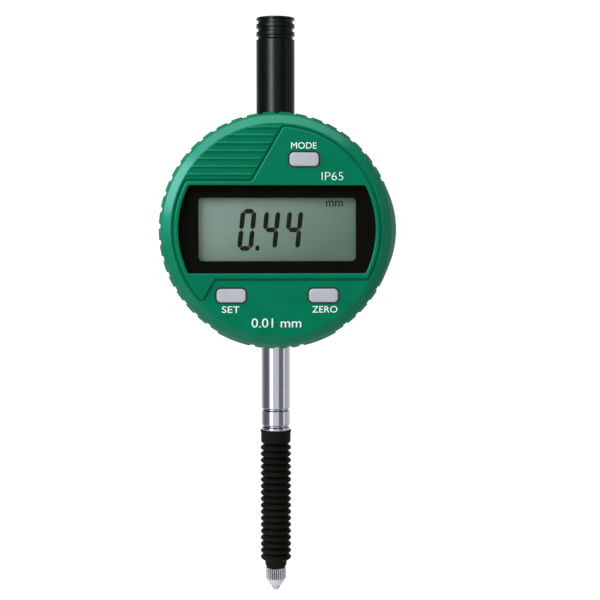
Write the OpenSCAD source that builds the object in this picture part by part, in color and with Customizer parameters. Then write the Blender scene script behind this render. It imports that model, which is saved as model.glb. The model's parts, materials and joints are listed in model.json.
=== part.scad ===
// Digital dial indicator with a 25.4 mm plunger, a rubber boot and a lug back.
// The origin is on the plunger's axis, half way along the clamping stem. +Z points up along the
// plunger, +X to the right of the display, and the display faces -Y. All sizes are millimetres.

/* [Case] */
// Diameter over the grip pads of the rim
case_d = 64; // [62:0.5:80]
// From the plunger's axis forward to the raised part of the face
face_front = 14; // [13.6:0.1:16]
// From the plunger's axis back to the outside of the case floor
case_back = 9; // [8.8:0.1:12]
// Thickness of the front and back walls
wall = 1.8; // [1.6:0.1:2.2]
// Thickness of the round wall, under the grip pads
rim_wall = 3; // [2.8:0.1:3.6]
// Depth of the grip grooves
groove_depth = 0.46; // [0.3:0.02:0.8]
// Angle between neighbouring grip grooves, in degrees
groove_pitch = 8; // [8:1:10]
// Thickness of the back cover
cover_t = 2; // [1.6:0.1:3]

/* [Face] */
// How far the raised part stands above the sunk parts of the face
relief = 0.45; // [0.3:0.05:0.6]
// Half height of the raised band that holds the window
band_half = 13.05; // [12.6:0.05:13.6]
// Height of the window
window_h = 23.7; // [22:0.1:24.4]
// Width of the part of the display that shows
view_w = 42.4; // [36:0.1:43]
// Height of the part of the display that shows
view_h = 17; // [14:0.1:17.5]
// Thickness of the clear window
lens_t = 1.1; // [0.8:0.1:1.2]
// Width of a key
key_w = 7.85; // [6:0.05:8.4]
// Height of a key
key_h = 3.65; // [3:0.05:4]
// Travel of a key
key_travel = 0.5; // [0.3:0.05:0.6]

/* [Plunger] */
// Measuring travel of the plunger
travel = 25.4; // [12.5:0.1:26]
// Diameter of the plunger
plunger_d = 4.5; // [3.6:0.05:4.8]
// Diameter of the clamping stem
stem_d = 8; // [8:0.05:9.6]
// Bare length of the clamping stem
stem_len = 17.8; // [12:0.1:24]
// Diameter of the rubber boot over its folds
boot_d = 8.6; // [8:0.1:9]
// Length of one fold of the boot
fold_pitch = 1.83; // [1.6:0.01:1.9]
// Diameter of the knurled collar of the contact point
tip_d = 5.56; // [5:0.02:6]
// Diameter of the top cap
cap_d = 10.6; // [10:0.1:11.4]

/* [Battery and lug] */
// Diameter of the button cell
cell_d = 20; // [16:0.5:20]
// Thickness of the button cell
cell_t = 3.2; // [2:0.1:3.2]
// Diameter of the hole in the back lug
lug_bore = 6.5; // [5:0.1:7]
// Thickness of the back lug
lug_t = 5; // [4:0.1:8]

/* [Hidden] */
$fn = 64;

// Clearances
run = 0.02;      // radial, plunger in its bushes and pin in its slot
gap = 0.3;       // between pieces that move past each other
fit = 0.1;       // between fixed pieces that drop into each other

// Case, seen from the front: x right, y up from the case's middle, z forward
case_r = case_d / 2;
cavity_r = case_r - rim_wall;
boss_step = 0.4;                       // the foot of the rim stands this far out
foot_half = 30;                        // half angle of that foot
floor_in = -case_back + wall;          // inside of the case floor
sunk = face_front - relief;            // front of the sunk parts of the face
front_in = sunk - wall - 0.2;          // inside of the front wall
seal_depth = 0.8;
seal_in = cavity_r + 0.8;              // face seal between the two shells
seal_out = cavity_r + 1.8;
split = cap_d / 2 + fit + seal_depth + 0.5; // plane where the front shell meets the rear case
bevel_in = case_r - 3.25;              // where the bevel meets the face
bevel_out = case_r - 1;                // where the bevel meets the sloping front of the grip pads
bevel_out_front = sunk - 1.55;
plateau_r = case_r - 4.3;
moat_depth = 0.35;                     // channel round the raised part
moat_w = 0.65;
window_r = case_r - 5.4;
window_mid = 0.2;                      // the window sits this far above the middle
slant = 60;                            // angle of the raised part's slanted edges
upper_corner = -6.8;                   // where the upper slanted edge meets the band
lower_corner = -16.8;                  // where the lower one does
rib_first = 1.87;                      // first rib's height above the band
rib_pitch = 2.1;
rib_w = 0.66;
ribs = 7;
rib_end = 0.85;                        // the ribs stop this far left of the slanted edge
shell_screw_r = cavity_r - 2.7;
shell_screw_angles = [51, 129, 242, 298];
screw_r = 1;
boss_r = 2.4;
head_r = 1.9;
head_t = 1.2;
back_screw_r = case_r - 8;
cover_r = case_r - 1.4;

// Keys, as [x, y, front of the face there]
mode_at = [7.2, 19, face_front];
set_at = [-12.45, -17.6, sunk];
zero_at = [12.46, -17.6, sunk];
key_corner = 1.15;
key_proud = 0.45;
key_gap_w = 0.35;
key_gap_h = 0.3;
key_flange = 0.9;                      // flange round the foot of a key
key_flange_t = 0.8;

// Electronics, front to back
mask_t = 0.15;
lens_back = face_front - 0.05 - lens_t;
board_front = 8;
board_t = 1.4;
board_back = board_front - board_t;
board_r = cavity_r - 0.8;
lcd_t = 2;
lcd_w = view_w + 3.6;
lcd_h = view_h + 5;
lcd_front = front_in - 0.15;
lcd_back = lcd_front - lcd_t;
frame_wall = 1.2;
board_screw_at = [[22.5, 14.8], [-22.5, 14.8], [21.5, -16], [-21.5, -16]];
board_screw_r = 0.8;
board_boss_r = 2;
sensor_t = 0.8;
sensor_half = 7.4;

// Plunger line, heights measured from the case's middle
plunger_r = plunger_d / 2;
stem_r = stem_d / 2;
bush_wall = 1.05;
bush_r = plunger_r + run + bush_wall;
shank_r = stem_r + 0.8;
shank_bottom = -sqrt(pow(case_r + boss_step, 2) - pow(shank_r, 2));
case_z = stem_len / 2 - shank_bottom;  // the case's middle above the origin
stem_top = shank_bottom + 9.5;
stem_bottom = shank_bottom - stem_len;
groove_w = 0.7;
neck_r = stem_r - 0.4;
ring_top = stem_bottom - groove_w;
ring_h = 4;
ring_r = stem_r - 0.01;
seat_top = ring_top - ring_h - groove_w;
seat_h = 0.8;
boot_top = seat_top - seat_h;
nose_r = 3.4;
nose_len = 3;
folds = round(travel * 18 / 25.4);
collar_len = 4.1;
folds_top = boot_top - collar_len;
folds_bottom = folds_top - folds * fold_pitch;
boot_r = boot_d / 2;
valley_r = boot_r - 1.05;
boot_wall = 0.55;
cuff_r = plunger_r + 0.72;
cuff_len = 2;
boot_bottom = folds_bottom - cuff_len;
tip_r = tip_d / 2;
knurl_h = 3.4;
knurl_teeth = 32;
ball_r = 1.1;
cone_h = 2.1;
ball_z = boot_bottom - knurl_h - cone_h;
thread_r = 1.25;

// Inside the case, heights measured from the case's middle
buffer_t = 1;
carriage_bottom = stem_top + buffer_t + gap;
carriage_h = 12;
carriage_top = carriage_bottom + carriage_h;
bush_len = 4;
cap_seat = case_r - 1.6;
cap_r = cap_d / 2;
cap_seal_t = 0.6;
cap_thread_r = bush_r + 0.9;
upper_bush_top = cap_seat - cap_seal_t - 5.3;
upper_bush_bottom = upper_bush_top - bush_len;
plunger_top = cap_seat + 0.6;
cap_bore_r = plunger_r + 0.75;
cap_roof = 1.2;
cap_room = 0.83;                       // left over the raised plunger
cap_top = plunger_top + travel + cap_room + cap_roof;
cap_groove_w = 1.15;
cap_groove_pitch = 2.18;
cap_groove_depth = 0.5;
cap_lip = 0.6;
boss_half = shank_r + 1.6;             // half width of the bosses that hold stem and cap
boss_front = shank_r + 0.8;

// Carriage and its guide
carriage_half = 6;
carriage_back = -plunger_r - 1;
slider_t = 1;
slider_front = board_back - sensor_t - gap;
carriage_front = slider_front - slider_t;
pin_r = 1;
rail_t = 2;
rail_half = 7.4;
rail_bottom = stem_top + buffer_t + fit;
rail_screw_x = 5.2;
spring_x = -9.5;
spring_low = carriage_bottom + 1.6;
spring_high = carriage_bottom + 10.6;
spring_r = 1.9;
wire_r = 0.2;
post_r = 0.85;
hook_r = post_r + 0.1 + wire_r;
arm_front = -wire_r - gap;             // front of the carriage's arm, behind the spring's loop
coil_turns = 12;

// Battery tray, entering from the right
cell_r = cell_d / 2;
tray_wall = 0.75;
tray_floor = 0.8;
tray_half = cell_r + 0.15 + tray_wall;
tray_back = floor_in + gap;
tray_front = tray_back + tray_floor + cell_t + 0.7;
slot_half = tray_half + gap;
slot_front = tray_front + gap;
door_half = slot_half + 2.2;
door_in = cavity_r + 0.8;              // inside face of the tray's door
door_bulge = case_r + 1.9;             // how far right the door reaches
door_edge = 1.0;                       // how far its ends stand out of the case
door_back = floor_in - 0.8;
door_front = slot_front + 1.2;
seal_t = 0.27;
cell_x = door_in - 0.5 - cell_r;
block_x = cavity_r - 7;                // left side of the block round the battery slot
tray_in = cell_x - cell_r - 0.7;

// Back lug
lug_y = -case_back - cover_t - 5;      // the lug's bore, forward coordinate
lug_r = 5;

// Places children in the case's front view: x right, y up, z forward
module in_case() { translate([0, 0, case_z]) rotate([90, 0, 0]) children(); }

// Places children on the plunger's axis with z measured from the case's middle
module on_axis() { translate([0, 0, case_z]) children(); }

// A flat outline made solid from one forward coordinate to another
module slab(back, front) { translate([0, 0, back]) linear_extrude(front - back) children(); }

// A tube or rod along z
module tube(outer, inner, low, high) {
    rotate_extrude() translate([inner, low]) square([outer - inner, high - low]);
}

// A rod along the front view's y axis, which is the plunger's line seen from the front
module upright(r, low, high) { translate([0, low, 0]) rotate([-90, 0, 0]) cylinder(r = r, h = high - low); }

module rounded(w, h, r) {
    square([w - 2 * r, h], center = true);
    square([w, h - 2 * r], center = true);
    for (x = [-1, 1], y = [-1, 1]) translate([x * (w / 2 - r), y * (h / 2 - r)]) circle(r);
}

// One screw along z: head from 0 back, shank forward
module screw(r, len, head, head_len) {
    difference() {
        translate([0, 0, -head_len]) cylinder(r = head, h = head_len);
        translate([0, 0, -head_len - 1]) cylinder(r = r * 0.75, h = 1.6, $fn = 6);
    }
    cylinder(r = r, h = len);
}

function polar(r, a) = [r * cos(a), r * sin(a)];
function rim_groove_angles() = concat(
    [for (a = [26 : groove_pitch : 234]) a], [for (a = [306 : groove_pitch : 330]) a]);
function foot_groove_angles() = [for (a = [258 : 6 : 282]) a];

// Notch that cuts one grip groove into a rim of radius r
module grip_notch(r) {
    translate([r, 0]) polygon([[-groove_depth, -0.5], [-groove_depth, 0.5], [0.3, 0.95], [0.3, -0.95]]);
}

module rim_outline() {
    foot_r = case_r + boss_step;
    difference() {
        union() {
            circle(case_r);
            intersection() {
                circle(foot_r);
                polygon([[0, 0], 2 * polar(foot_r, 270 - foot_half), [0, -3 * foot_r],
                    2 * polar(foot_r, 270 + foot_half)]);
            }
        }
        for (a = rim_groove_angles()) rotate(a) grip_notch(case_r);
        for (a = foot_groove_angles()) rotate(a) grip_notch(foot_r);
    }
}

// Outline of the raised part of the face, grown by g on its straight edges
module raised_area(r, g) {
    far = 2 * case_r;
    step = g / sin(slant);
    run_up = (far - band_half) / tan(slant);
    lift = g / tan(slant);
    intersection() {
        circle(r);
        polygon([
            [-far, band_half + g], [upper_corner + lift - step, band_half + g],
            [upper_corner + run_up - step, far], [far, far],
            [far, -band_half - g], [lower_corner - lift + step, -band_half - g],
            [lower_corner - run_up + step, -far], [-far, -far]
        ]);
    }
}

module window_outline(shrink) {
    intersection() {
        circle(window_r - shrink);
        translate([0, window_mid]) square([case_d, window_h - 2 * shrink], center = true);
    }
}

module key_hole(at) {
    translate(at) rounded(key_w + 2 * key_gap_w, key_h + 2 * key_gap_h, key_corner + key_gap_h);
}

// Where the raised part's upper slanted edge is at height y
function slant_x(y) = upper_corner + (y - band_half) / tan(slant);

// One rib of the sunk part at the upper left, from the bevel to the channel
module face_rib(i) {
    bottom = band_half + rib_first + i * rib_pitch - rib_w / 2;
    top = bottom + rib_w;
    if (top < bevel_in - 0.5) intersection() {
        circle(bevel_in - 0.15);
        polygon([[-case_r, bottom], [slant_x(bottom) - rib_end, bottom],
            [slant_x(top) - rib_end, top], [-case_r, top]]);
    }
}

module shell_bosses(r) {
    for (a = shell_screw_angles) translate(polar(shell_screw_r, a)) circle(r);
}

module front_shell() color([0, 0.46, 0.33]) in_case() difference() {
    union() {
        difference() {
            intersection() {
                slab(split, face_front) rim_outline();
                rotate_extrude() polygon([[0, split], [case_r + 0.5, split],
                    [case_r + 0.5, bevel_out_front - 3],
                    [bevel_out, bevel_out_front], [bevel_in, sunk], [0, sunk]]);
            }
            rotate_extrude() polygon([[0, split - 1], [cavity_r, split - 1], [cavity_r, front_in - 1.2],
                [cavity_r - 1.3, front_in], [0, front_in]]);
            slab(sunk - moat_depth, sunk + 1) raised_area(bevel_in, moat_w);
        }
        slab(sunk - moat_depth - 0.2, face_front) raised_area(plateau_r, 0);
        slab(sunk - 0.2, sunk + relief * 0.6) for (i = [0 : ribs - 1]) face_rib(i);
        intersection() {
            slab(split, front_in + 0.5) shell_bosses(boss_r);
            slab(split, front_in + 0.5) circle(cavity_r + 0.5);
        }
        slab(board_front, front_in + 0.5) for (p = board_screw_at) translate(p) circle(board_boss_r);
    }
    slab(lens_back - mask_t, face_front + 1) window_outline(0);
    slab(front_in - 1, face_front) translate([0, window_mid])
        square([view_w + 1, view_h + 1], center = true);
    for (k = [mode_at, set_at, zero_at]) slab(front_in - 1, face_front + 1) key_hole([k[0], k[1]]);
    slab(split - 1, front_in - 0.6) shell_bosses(screw_r);
    slab(board_front - 1, front_in - 0.6) for (p = board_screw_at) translate(p) circle(board_screw_r);
}

module back_screw_spots(r) {
    for (a = [45 : 90 : 315]) translate(polar(back_screw_r, a)) circle(r);
}

module rear_case() color([0, 0.42, 0.30]) in_case() difference() {
    union() {
        difference() {
            intersection() {
                slab(-case_back, split) rim_outline();
                rotate_extrude() polygon([[0, -case_back], [bevel_out, -case_back],
                    [case_r + 0.5, -case_back + 1],
                    [case_r + 0.5, split], [0, split]]);
            }
            slab(floor_in, split + 1) circle(cavity_r);
            slab(split - seal_depth, split + 1) difference() { circle(seal_out); circle(seal_in); }
        }
        intersection() {
            slab(floor_in - 0.5, split) circle(cavity_r + 0.5);
            union() {
                slab(floor_in - 0.5, split) shell_bosses(boss_r);
                slab(floor_in - 0.5, floor_in + 3) back_screw_spots(boss_r);
                slab(floor_in - 0.5, boss_front) translate([-boss_half, upper_bush_bottom])
                    square([2 * boss_half, case_r]);
                slab(floor_in - 0.5, boss_front) translate([-boss_half, stem_top - case_r])
                    square([2 * boss_half, case_r]);
                slab(floor_in - 0.5, slot_front + 1) translate([block_x, -slot_half - 1.6])
                    square([8, 2 * slot_half + 3.2]);
            }
        }
    }
    // line of the plunger: cap thread and seat, bush, then the stem's bore
    upright(cap_thread_r, upper_bush_top, case_r);
    upright(cap_r + fit, cap_seat - cap_seal_t, case_r + 1);
    upright(bush_r, upper_bush_bottom - 1, upper_bush_top + 0.1);
    upright(shank_r, -case_r - 2, stem_top + 0.1);
    // battery slot and the pocket of its door
    slab(tray_back - gap, slot_front) translate([cavity_r - 12, -slot_half]) square([20, 2 * slot_half]);
    slab(door_back - gap, door_front + gap) translate([door_in - gap, -door_half - gap])
        square([10, 2 * (door_half + gap)]);
    // screws
    slab(-case_back - 1, split + 1) shell_bosses(screw_r);
    slab(-case_back - 1, -case_back + head_t + 0.1) shell_bosses(head_r + fit);
    slab(-case_back - 1, floor_in + 2.4) back_screw_spots(screw_r);
    slab(floor_in - 1, floor_in + 1) translate([spring_x, spring_low]) circle(post_r);
    slab(floor_in - 1.2, floor_in + 1) for (s = [-1, 1]) translate([s * rail_screw_x, 0])
        circle(board_screw_r);
}

module shell_seal() color([0.1, 0.1, 0.1]) in_case()
    slab(split - seal_depth, split) difference() { circle(seal_out); circle(seal_in); }

module shell_screws() color("silver") in_case() for (a = shell_screw_angles)
    translate([each polar(shell_screw_r, a), -case_back + head_t + 0.1])
        screw(screw_r, front_in - 1 + case_back - head_t, head_r, head_t);

module back_cover() color([0, 0.40, 0.29]) in_case() difference() {
    union() {
        rotate_extrude() polygon([[0, -case_back], [cover_r, -case_back],
            [cover_r, -case_back - cover_t + 0.6],
            [cover_r - 0.6, -case_back - cover_t], [0, -case_back - cover_t]]);
        translate([-lug_t / 2, 0, 0]) rotate([0, 90, 0]) linear_extrude(lug_t) union() {
            translate([-lug_y, 0]) circle(lug_r);
            translate([case_back + cover_t - 0.5, -lug_r])
                square([-lug_y - case_back - cover_t + 0.5, 2 * lug_r]);
            polygon([[case_back + cover_t - 0.5, -lug_r - 2.5], [case_back + cover_t, -lug_r - 2.5],
                [case_back + cover_t + 2.5, -lug_r], [case_back + cover_t + 2.5, lug_r],
                [case_back + cover_t, lug_r + 2.5], [case_back + cover_t - 0.5, lug_r + 2.5]]);
        }
    }
    translate([-lug_t, 0, lug_y]) rotate([0, 90, 0]) cylinder(d = lug_bore, h = 2 * lug_t);
    slab(-case_back - 0.8, -case_back + 1) difference() { circle(cover_r - 2); circle(cover_r - 3); }
    slab(-case_back - cover_t - 1, -case_back + 1) back_screw_spots(screw_r + 0.1);
    slab(-case_back - cover_t - 1, -case_back - cover_t + head_t) back_screw_spots(head_r + fit);
}

module back_seal() color([0.1, 0.1, 0.1]) in_case()
    slab(-case_back - 0.8, -case_back) difference() { circle(cover_r - 2); circle(cover_r - 3); }

module back_screws() color("silver") in_case() for (a = [45 : 90 : 315])
    translate([each polar(back_screw_r, a), -case_back - cover_t + head_t])
        screw(screw_r, wall + 2 + cover_t - head_t, head_r, head_t);

module window_lens() color([0.7, 0.8, 0.8, 0.4]) in_case()
    slab(lens_back, lens_back + lens_t) window_outline(fit);

module window_mask() color([0.08, 0.08, 0.06]) in_case() slab(lens_back - mask_t, lens_back) difference() {
    window_outline(fit);
    translate([0, window_mid]) square([view_w, view_h], center = true);
}

module lcd_panel() color([0.47, 0.56, 0.50]) in_case() slab(lcd_back, lcd_front)
    translate([0, window_mid]) square([lcd_w, lcd_h], center = true);

module lcd_frame() color([0.85, 0.85, 0.82]) in_case() translate([0, window_mid, 0]) difference() {
    slab(board_front, lcd_front)
        square([lcd_w + 2 * fit + 2 * frame_wall, lcd_h + 2 * fit + 2 * frame_wall], center = true);
    slab(lcd_back, lcd_front + 1) square([lcd_w + 2 * fit, lcd_h + 2 * fit], center = true);
    slab(board_front - 1, lcd_front) square([lcd_w - 1.4, lcd_h - 1.4], center = true);
}

module zebra_strips() color([0.3, 0.3, 0.32]) in_case() slab(board_front, lcd_back) for (s = [-1, 1])
    translate([0, window_mid + s * (lcd_h / 2 - 1.9)]) square([view_w, 1.8], center = true);

module main_board() color([0.05, 0.3, 0.15]) in_case() slab(board_back, board_front) difference() {
    intersection() { circle(board_r); square([2 * board_r, 2 * board_r - 6.4], center = true); }
    shell_bosses(boss_r + 0.4);
    for (p = board_screw_at) translate(p) circle(board_screw_r);
}

module board_screws() color("silver") in_case() for (p = board_screw_at)
    translate([p[0], p[1], board_back]) screw(board_screw_r, front_in - 1 - board_back, 1.5, 1);

// Processor, memory and crystal on the back of the main board
module chips() color([0.12, 0.12, 0.12]) in_case() {
    for (p = [[-16, 6, 8, 8], [-16, -6, 5, 4]]) slab(board_back - 1.2, board_back)
        translate([p[0], p[1]]) square([p[2], p[3]], center = true);
    slab(board_back - 1.4, board_back) translate([-20.5, -6.5]) rounded(2.4, 6, 1.1);
}

module dome_switches() color("gold") in_case() for (k = [mode_at, set_at, zero_at])
    slab(board_front, board_front + 0.5) translate([k[0], k[1]]) circle(1.9);

module key_seals() color([0.2, 0.2, 0.2]) in_case() for (k = [mode_at, set_at, zero_at]) difference() {
    slab(board_front, board_front + 1.4) translate([k[0], k[1]])
        square([key_w + 2.4, key_h + 1.8], center = true);
    slab(board_front - 1, board_front + 0.8) translate([k[0], k[1]])
        square([key_w + 0.8, key_h + 0.4], center = true);
}

module key(k) color([0.73, 0.75, 0.77]) in_case() {
    flange_front = front_in - 0.35;
    slab(flange_front - 0.1, k[2] + key_proud) translate([k[0], k[1]]) rounded(key_w, key_h, key_corner);
    slab(flange_front - key_flange_t, flange_front) translate([k[0], k[1]])
        rounded(key_w + key_flange, key_h + key_flange, key_corner);
    slab(board_front + 1.4 + gap + key_travel, flange_front) translate([k[0], k[1]]) circle(1.2);
}

module mode_key() key(mode_at);
module set_key() key(set_at);
module zero_key() key(zero_at);

module scale_board() color([0.1, 0.35, 0.2]) in_case() slab(board_back - sensor_t, board_back)
    translate([-sensor_half, carriage_bottom])
        square([2 * sensor_half, upper_bush_bottom - 0.4 - carriage_bottom]);

// One leaf over the cell and one at the end of the tray, each with a leg to the main board
module battery_contacts() color([0.8, 0.7, 0.4]) in_case() {
    leaf_t = 0.3;
    leg_x = tray_in + 2;
    slab(slot_front, slot_front + leaf_t) translate([leg_x, -2]) square([block_x - gap - leg_x, 4]);
    slab(slot_front, board_back) translate([leg_x, -2]) square([leaf_t, 4]);
    slab(tray_back + 1, board_back) translate([tray_in - gap - leaf_t, -3]) square([leaf_t, 6]);
}

module battery() color([0.75, 0.75, 0.76]) in_case() translate([cell_x, 0, tray_back + tray_floor]) {
    cylinder(r = cell_r, h = cell_t - 0.4);
    cylinder(r = cell_r - 1.2, h = cell_t);
}

module battery_tray() color([0.55, 0.55, 0.54]) in_case() {
    difference() {
        slab(tray_back, tray_front) translate([tray_in, -tray_half])
            square([door_in - tray_in + 0.1, 2 * tray_half]);
        translate([cell_x, 0, tray_back + tray_floor]) cylinder(r = cell_r + 0.15, h = 20);
        slab(tray_back - 1, tray_front + 1) translate([cell_x, 0]) circle(4);
    }
    bulge = door_bulge - sqrt(pow(case_r + door_edge, 2) - pow(door_half, 2));
    arc_r = (pow(door_half, 2) + pow(bulge, 2)) / (2 * bulge);
    slab(door_back, door_front) intersection() {
        translate([door_bulge - arc_r, 0]) circle(arc_r);
        translate([door_in, -door_half]) square([20, 2 * door_half]);
    }
}

module tray_seal() color([0.1, 0.1, 0.1]) in_case() translate([door_in - seal_t, 0, 0]) rotate([90, 0, 90])
    linear_extrude(seal_t) translate([0, (tray_back + tray_front) / 2]) difference() {
        square([2 * slot_half + 1, tray_front - tray_back + 1.6], center = true);
        square([2 * tray_half, tray_front - tray_back], center = true);
    }

module guide_rail() color([0.7, 0.7, 0.72]) in_case() difference() {
    slab(floor_in, floor_in + rail_t) translate([-rail_half, rail_bottom])
        square([2 * rail_half, upper_bush_bottom - 0.4 - rail_bottom]);
    slab(floor_in - 1, floor_in + rail_t + 1) translate([-pin_r - run, stem_top + 2])
        square([2 * (pin_r + run), upper_bush_bottom - stem_top - 4]);
    slab(floor_in - 1, floor_in + rail_t + 1) for (s = [-1, 1]) translate([s * rail_screw_x, 0])
        circle(board_screw_r);
}

module rail_screws() color("silver") in_case() for (s = [-1, 1])
    translate([s * rail_screw_x, 0, floor_in + rail_t])
    mirror([0, 0, 1]) screw(board_screw_r, rail_t + 1.2, 1.5, 0.8);

module guide_pin() color("silver") in_case() translate([0, carriage_bottom + 6, 0])
    slab(floor_in + gap, carriage_back + 1) circle(pin_r);

module carriage() color([0.8, 0.8, 0.82]) in_case() difference() {
    union() {
        slab(carriage_back, carriage_front) translate([-carriage_half, carriage_bottom])
            square([2 * carriage_half, carriage_h]);
        slab(carriage_back, arm_front) translate([spring_x - 1.4, spring_high - 1])
            square([-carriage_half - spring_x + 2, 3]);
    }
    upright(plunger_r, carriage_bottom - 1, carriage_top + 1);
    translate([0, carriage_bottom + 6, 0]) slab(carriage_back - 1, carriage_back + 1) circle(pin_r);
    slab(carriage_back + 1, 0) translate([spring_x, spring_high]) circle(post_r);
    for (h = [3, 9]) translate([0, carriage_bottom + h, 0]) rotate([0, 90, 0])
        cylinder(r = screw_r, h = 10);
}

module clamp_screws() color([0.25, 0.25, 0.27]) in_case() for (h = [3, 9])
    translate([plunger_r, carriage_bottom + h, 0]) rotate([0, 90, 0]) difference() {
        cylinder(r = screw_r, h = carriage_half - plunger_r);
        translate([0, 0, carriage_half - plunger_r - 1.2]) cylinder(r = 0.5, h = 2, $fn = 6);
    }

module slider_board() color([0.1, 0.35, 0.2]) in_case() slab(carriage_front, slider_front)
    translate([-carriage_half + 0.6, carriage_bottom + 0.4])
        square([2 * carriage_half - 1.2, carriage_h - 0.8]);

module spring_anchor() color("silver") in_case() translate([spring_x, spring_low, 0]) {
    slab(floor_in - 1, 0.8) circle(post_r);
    slab(0.8, 1.2) circle(post_r + 0.15);
}

module spring_pin() color("silver") in_case() translate([spring_x, spring_high, 0]) {
    slab(carriage_back + 1, 0.8) circle(post_r);
    slab(0.8, 1.2) circle(post_r + 0.15);
}

// A coil of round wire along y, from one height to another, that winds in to the axis at its ends
module coil(r, wire, turns, low, high) {
    sides = 6;
    per_turn = 12;
    steps = turns * per_turn;
    function reach(i) = wire + (r - wire) * min(1, 2 * i / per_turn, 2 * (steps - i) / per_turn);
    function ring(i) = [for (s = [0 : sides - 1]) let (a = 360 * i / per_turn, b = 360 * s / sides,
        out = reach(i) + wire * cos(b))
        [out * cos(a), low + (high - low) * i / steps + wire * sin(b), out * sin(a)]];
    walls = [for (i = [0 : steps - 1], s = [0 : sides - 1]) let (n = (s + 1) % sides)
        [i * sides + s, (i + 1) * sides + s, (i + 1) * sides + n, i * sides + n]];
    ends = [[for (s = [0 : sides - 1]) s], [for (s = [sides - 1 : -1 : 0]) steps * sides + s]];
    polyhedron([for (i = [0 : steps]) each ring(i)], concat(walls, ends));
}

// Tension spring between the anchor and the carriage's pin: a coil with a loop at each end
module return_spring() color([0.6, 0.6, 0.62]) in_case() translate([spring_x, 0, 0]) {
    coil(spring_r, wire_r, coil_turns, spring_low + hook_r + 0.1, spring_high - hook_r - 0.1);
    for (y = [spring_low, spring_high]) translate([0, y, 0])
        rotate_extrude($fn = 16) translate([hook_r, 0]) circle(wire_r, $fn = 13);
}

module stop_buffer() color([0.15, 0.15, 0.15]) on_axis()
    tube(shank_r - 0.3, plunger_r + gap, stem_top, stem_top + buffer_t);

module upper_bush() color([0.8, 0.65, 0.3]) on_axis()
    tube(bush_r, plunger_r + run, upper_bush_bottom, upper_bush_top);

module lower_bush() color([0.8, 0.65, 0.3]) on_axis()
    tube(bush_r, plunger_r + run, stem_bottom + 2, stem_bottom + 2 + bush_len + 2);

module plunger() color([0.8, 0.8, 0.82]) on_axis() difference() {
    tube(plunger_r, 0, boot_bottom, plunger_top);
    tube(thread_r, 0, boot_bottom - 1, boot_bottom + 5);
}

module stem() color([0.75, 0.75, 0.8]) on_axis() {
    tube(shank_r, bush_r, shank_bottom, stem_top);
    tube(stem_r, bush_r, stem_bottom, shank_bottom);
}

// Ring that closes the stem below the bush and carries the boot
module end_ring() color([0.75, 0.75, 0.8]) on_axis() rotate_extrude() polygon([
    [plunger_r + gap, stem_bottom + 2], [bush_r, stem_bottom + 2], [bush_r, stem_bottom],
    [neck_r, stem_bottom], [neck_r, ring_top], [ring_r, ring_top], [ring_r, ring_top - ring_h],
    [neck_r, ring_top - ring_h], [neck_r, seat_top], [ring_r, seat_top], [ring_r, boot_top],
    [nose_r, boot_top], [nose_r, boot_top - nose_len], [plunger_r + gap, boot_top - nose_len]]);

// Boot: a cuff over the ring's nose, the folds, and a cuff that grips the plunger
module rubber_boot() color([0.11, 0.115, 0.09]) on_axis() {
    peak = [for (i = [0 : folds - 1]) each [
        [boot_r, folds_top - (i + 0.5) * fold_pitch + 0.2],
        [boot_r, folds_top - (i + 0.5) * fold_pitch - 0.2],
        [valley_r, folds_top - (i + 1) * fold_pitch + 0.12],
        [valley_r, folds_top - (i + 1) * fold_pitch - 0.12]]];
    trough = [for (i = [len(peak) - 3 : -1 : 0]) [peak[i][0] - boot_wall, peak[i][1]]];
    rotate_extrude() polygon(concat(
        [[boot_r + 0.07, boot_top], [boot_r + 0.05, boot_top - 0.6], [boot_r - 0.1, boot_top - 0.8],
            [boot_r - 0.1, folds_top + 0.3], [valley_r, folds_top + 0.12], [valley_r, folds_top - 0.12]],
        [for (i = [0 : len(peak) - 3]) peak[i]],
        [[cuff_r, folds_bottom], [cuff_r, boot_bottom + 0.3], [cuff_r - 0.3, boot_bottom],
            [plunger_r + run, boot_bottom], [plunger_r + run, folds_bottom + 0.3]],
        trough,
        [[valley_r - boot_wall, folds_top - 0.12], [valley_r - boot_wall, folds_top + 0.12],
            [nose_r, boot_top - nose_len], [nose_r, boot_top]]));
}

module contact_point() color([0.6, 0.65, 0.7]) on_axis() {
    tooth = 360 / knurl_teeth;
    translate([0, 0, boot_bottom - knurl_h]) linear_extrude(knurl_h) polygon([
        for (i = [0 : knurl_teeth - 1])
            each [polar(tip_r, i * tooth), polar(tip_r - 0.22, (i + 0.5) * tooth)]]);
    difference() {
        rotate_extrude() polygon([[0, boot_bottom + 4.5], [thread_r, boot_bottom + 4.5],
            [thread_r, boot_bottom - 0.5],
            [tip_r - 0.22, boot_bottom - 0.5], [tip_r - 0.22, boot_bottom - knurl_h],
            [ball_r + 0.2, ball_z + 0.1],
            [0, ball_z + 0.1]]);
        translate([0, 0, ball_z]) sphere(r = ball_r);
    }
}

module contact_ball() color([0.7, 0.72, 0.76]) on_axis() translate([0, 0, ball_z]) sphere(r = ball_r);

module top_cap() color([0.06, 0.07, 0.07]) on_axis() {
    grooves = [for (i = [0 : 2]) let (top = cap_top - cap_lip - i * cap_groove_pitch) each [
        [cap_r, top], [cap_r - cap_groove_depth, top], [cap_r - cap_groove_depth, top - cap_groove_w],
        [cap_r, top - cap_groove_w]]];
    rotate_extrude() polygon(concat(
        [[0, cap_top], [cap_r - 0.2, cap_top], [cap_r, cap_top - 0.2]], grooves,
        [[cap_r, cap_seat], [cap_thread_r, cap_seat], [cap_thread_r, upper_bush_top],
        [cap_bore_r, upper_bush_top],
            [cap_bore_r, cap_top - cap_roof], [0, cap_top - cap_roof]]));
}

module cap_seal() color([0.1, 0.1, 0.1]) on_axis()
    tube(cap_r, cap_thread_r, cap_seat - cap_seal_t, cap_seat);

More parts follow.
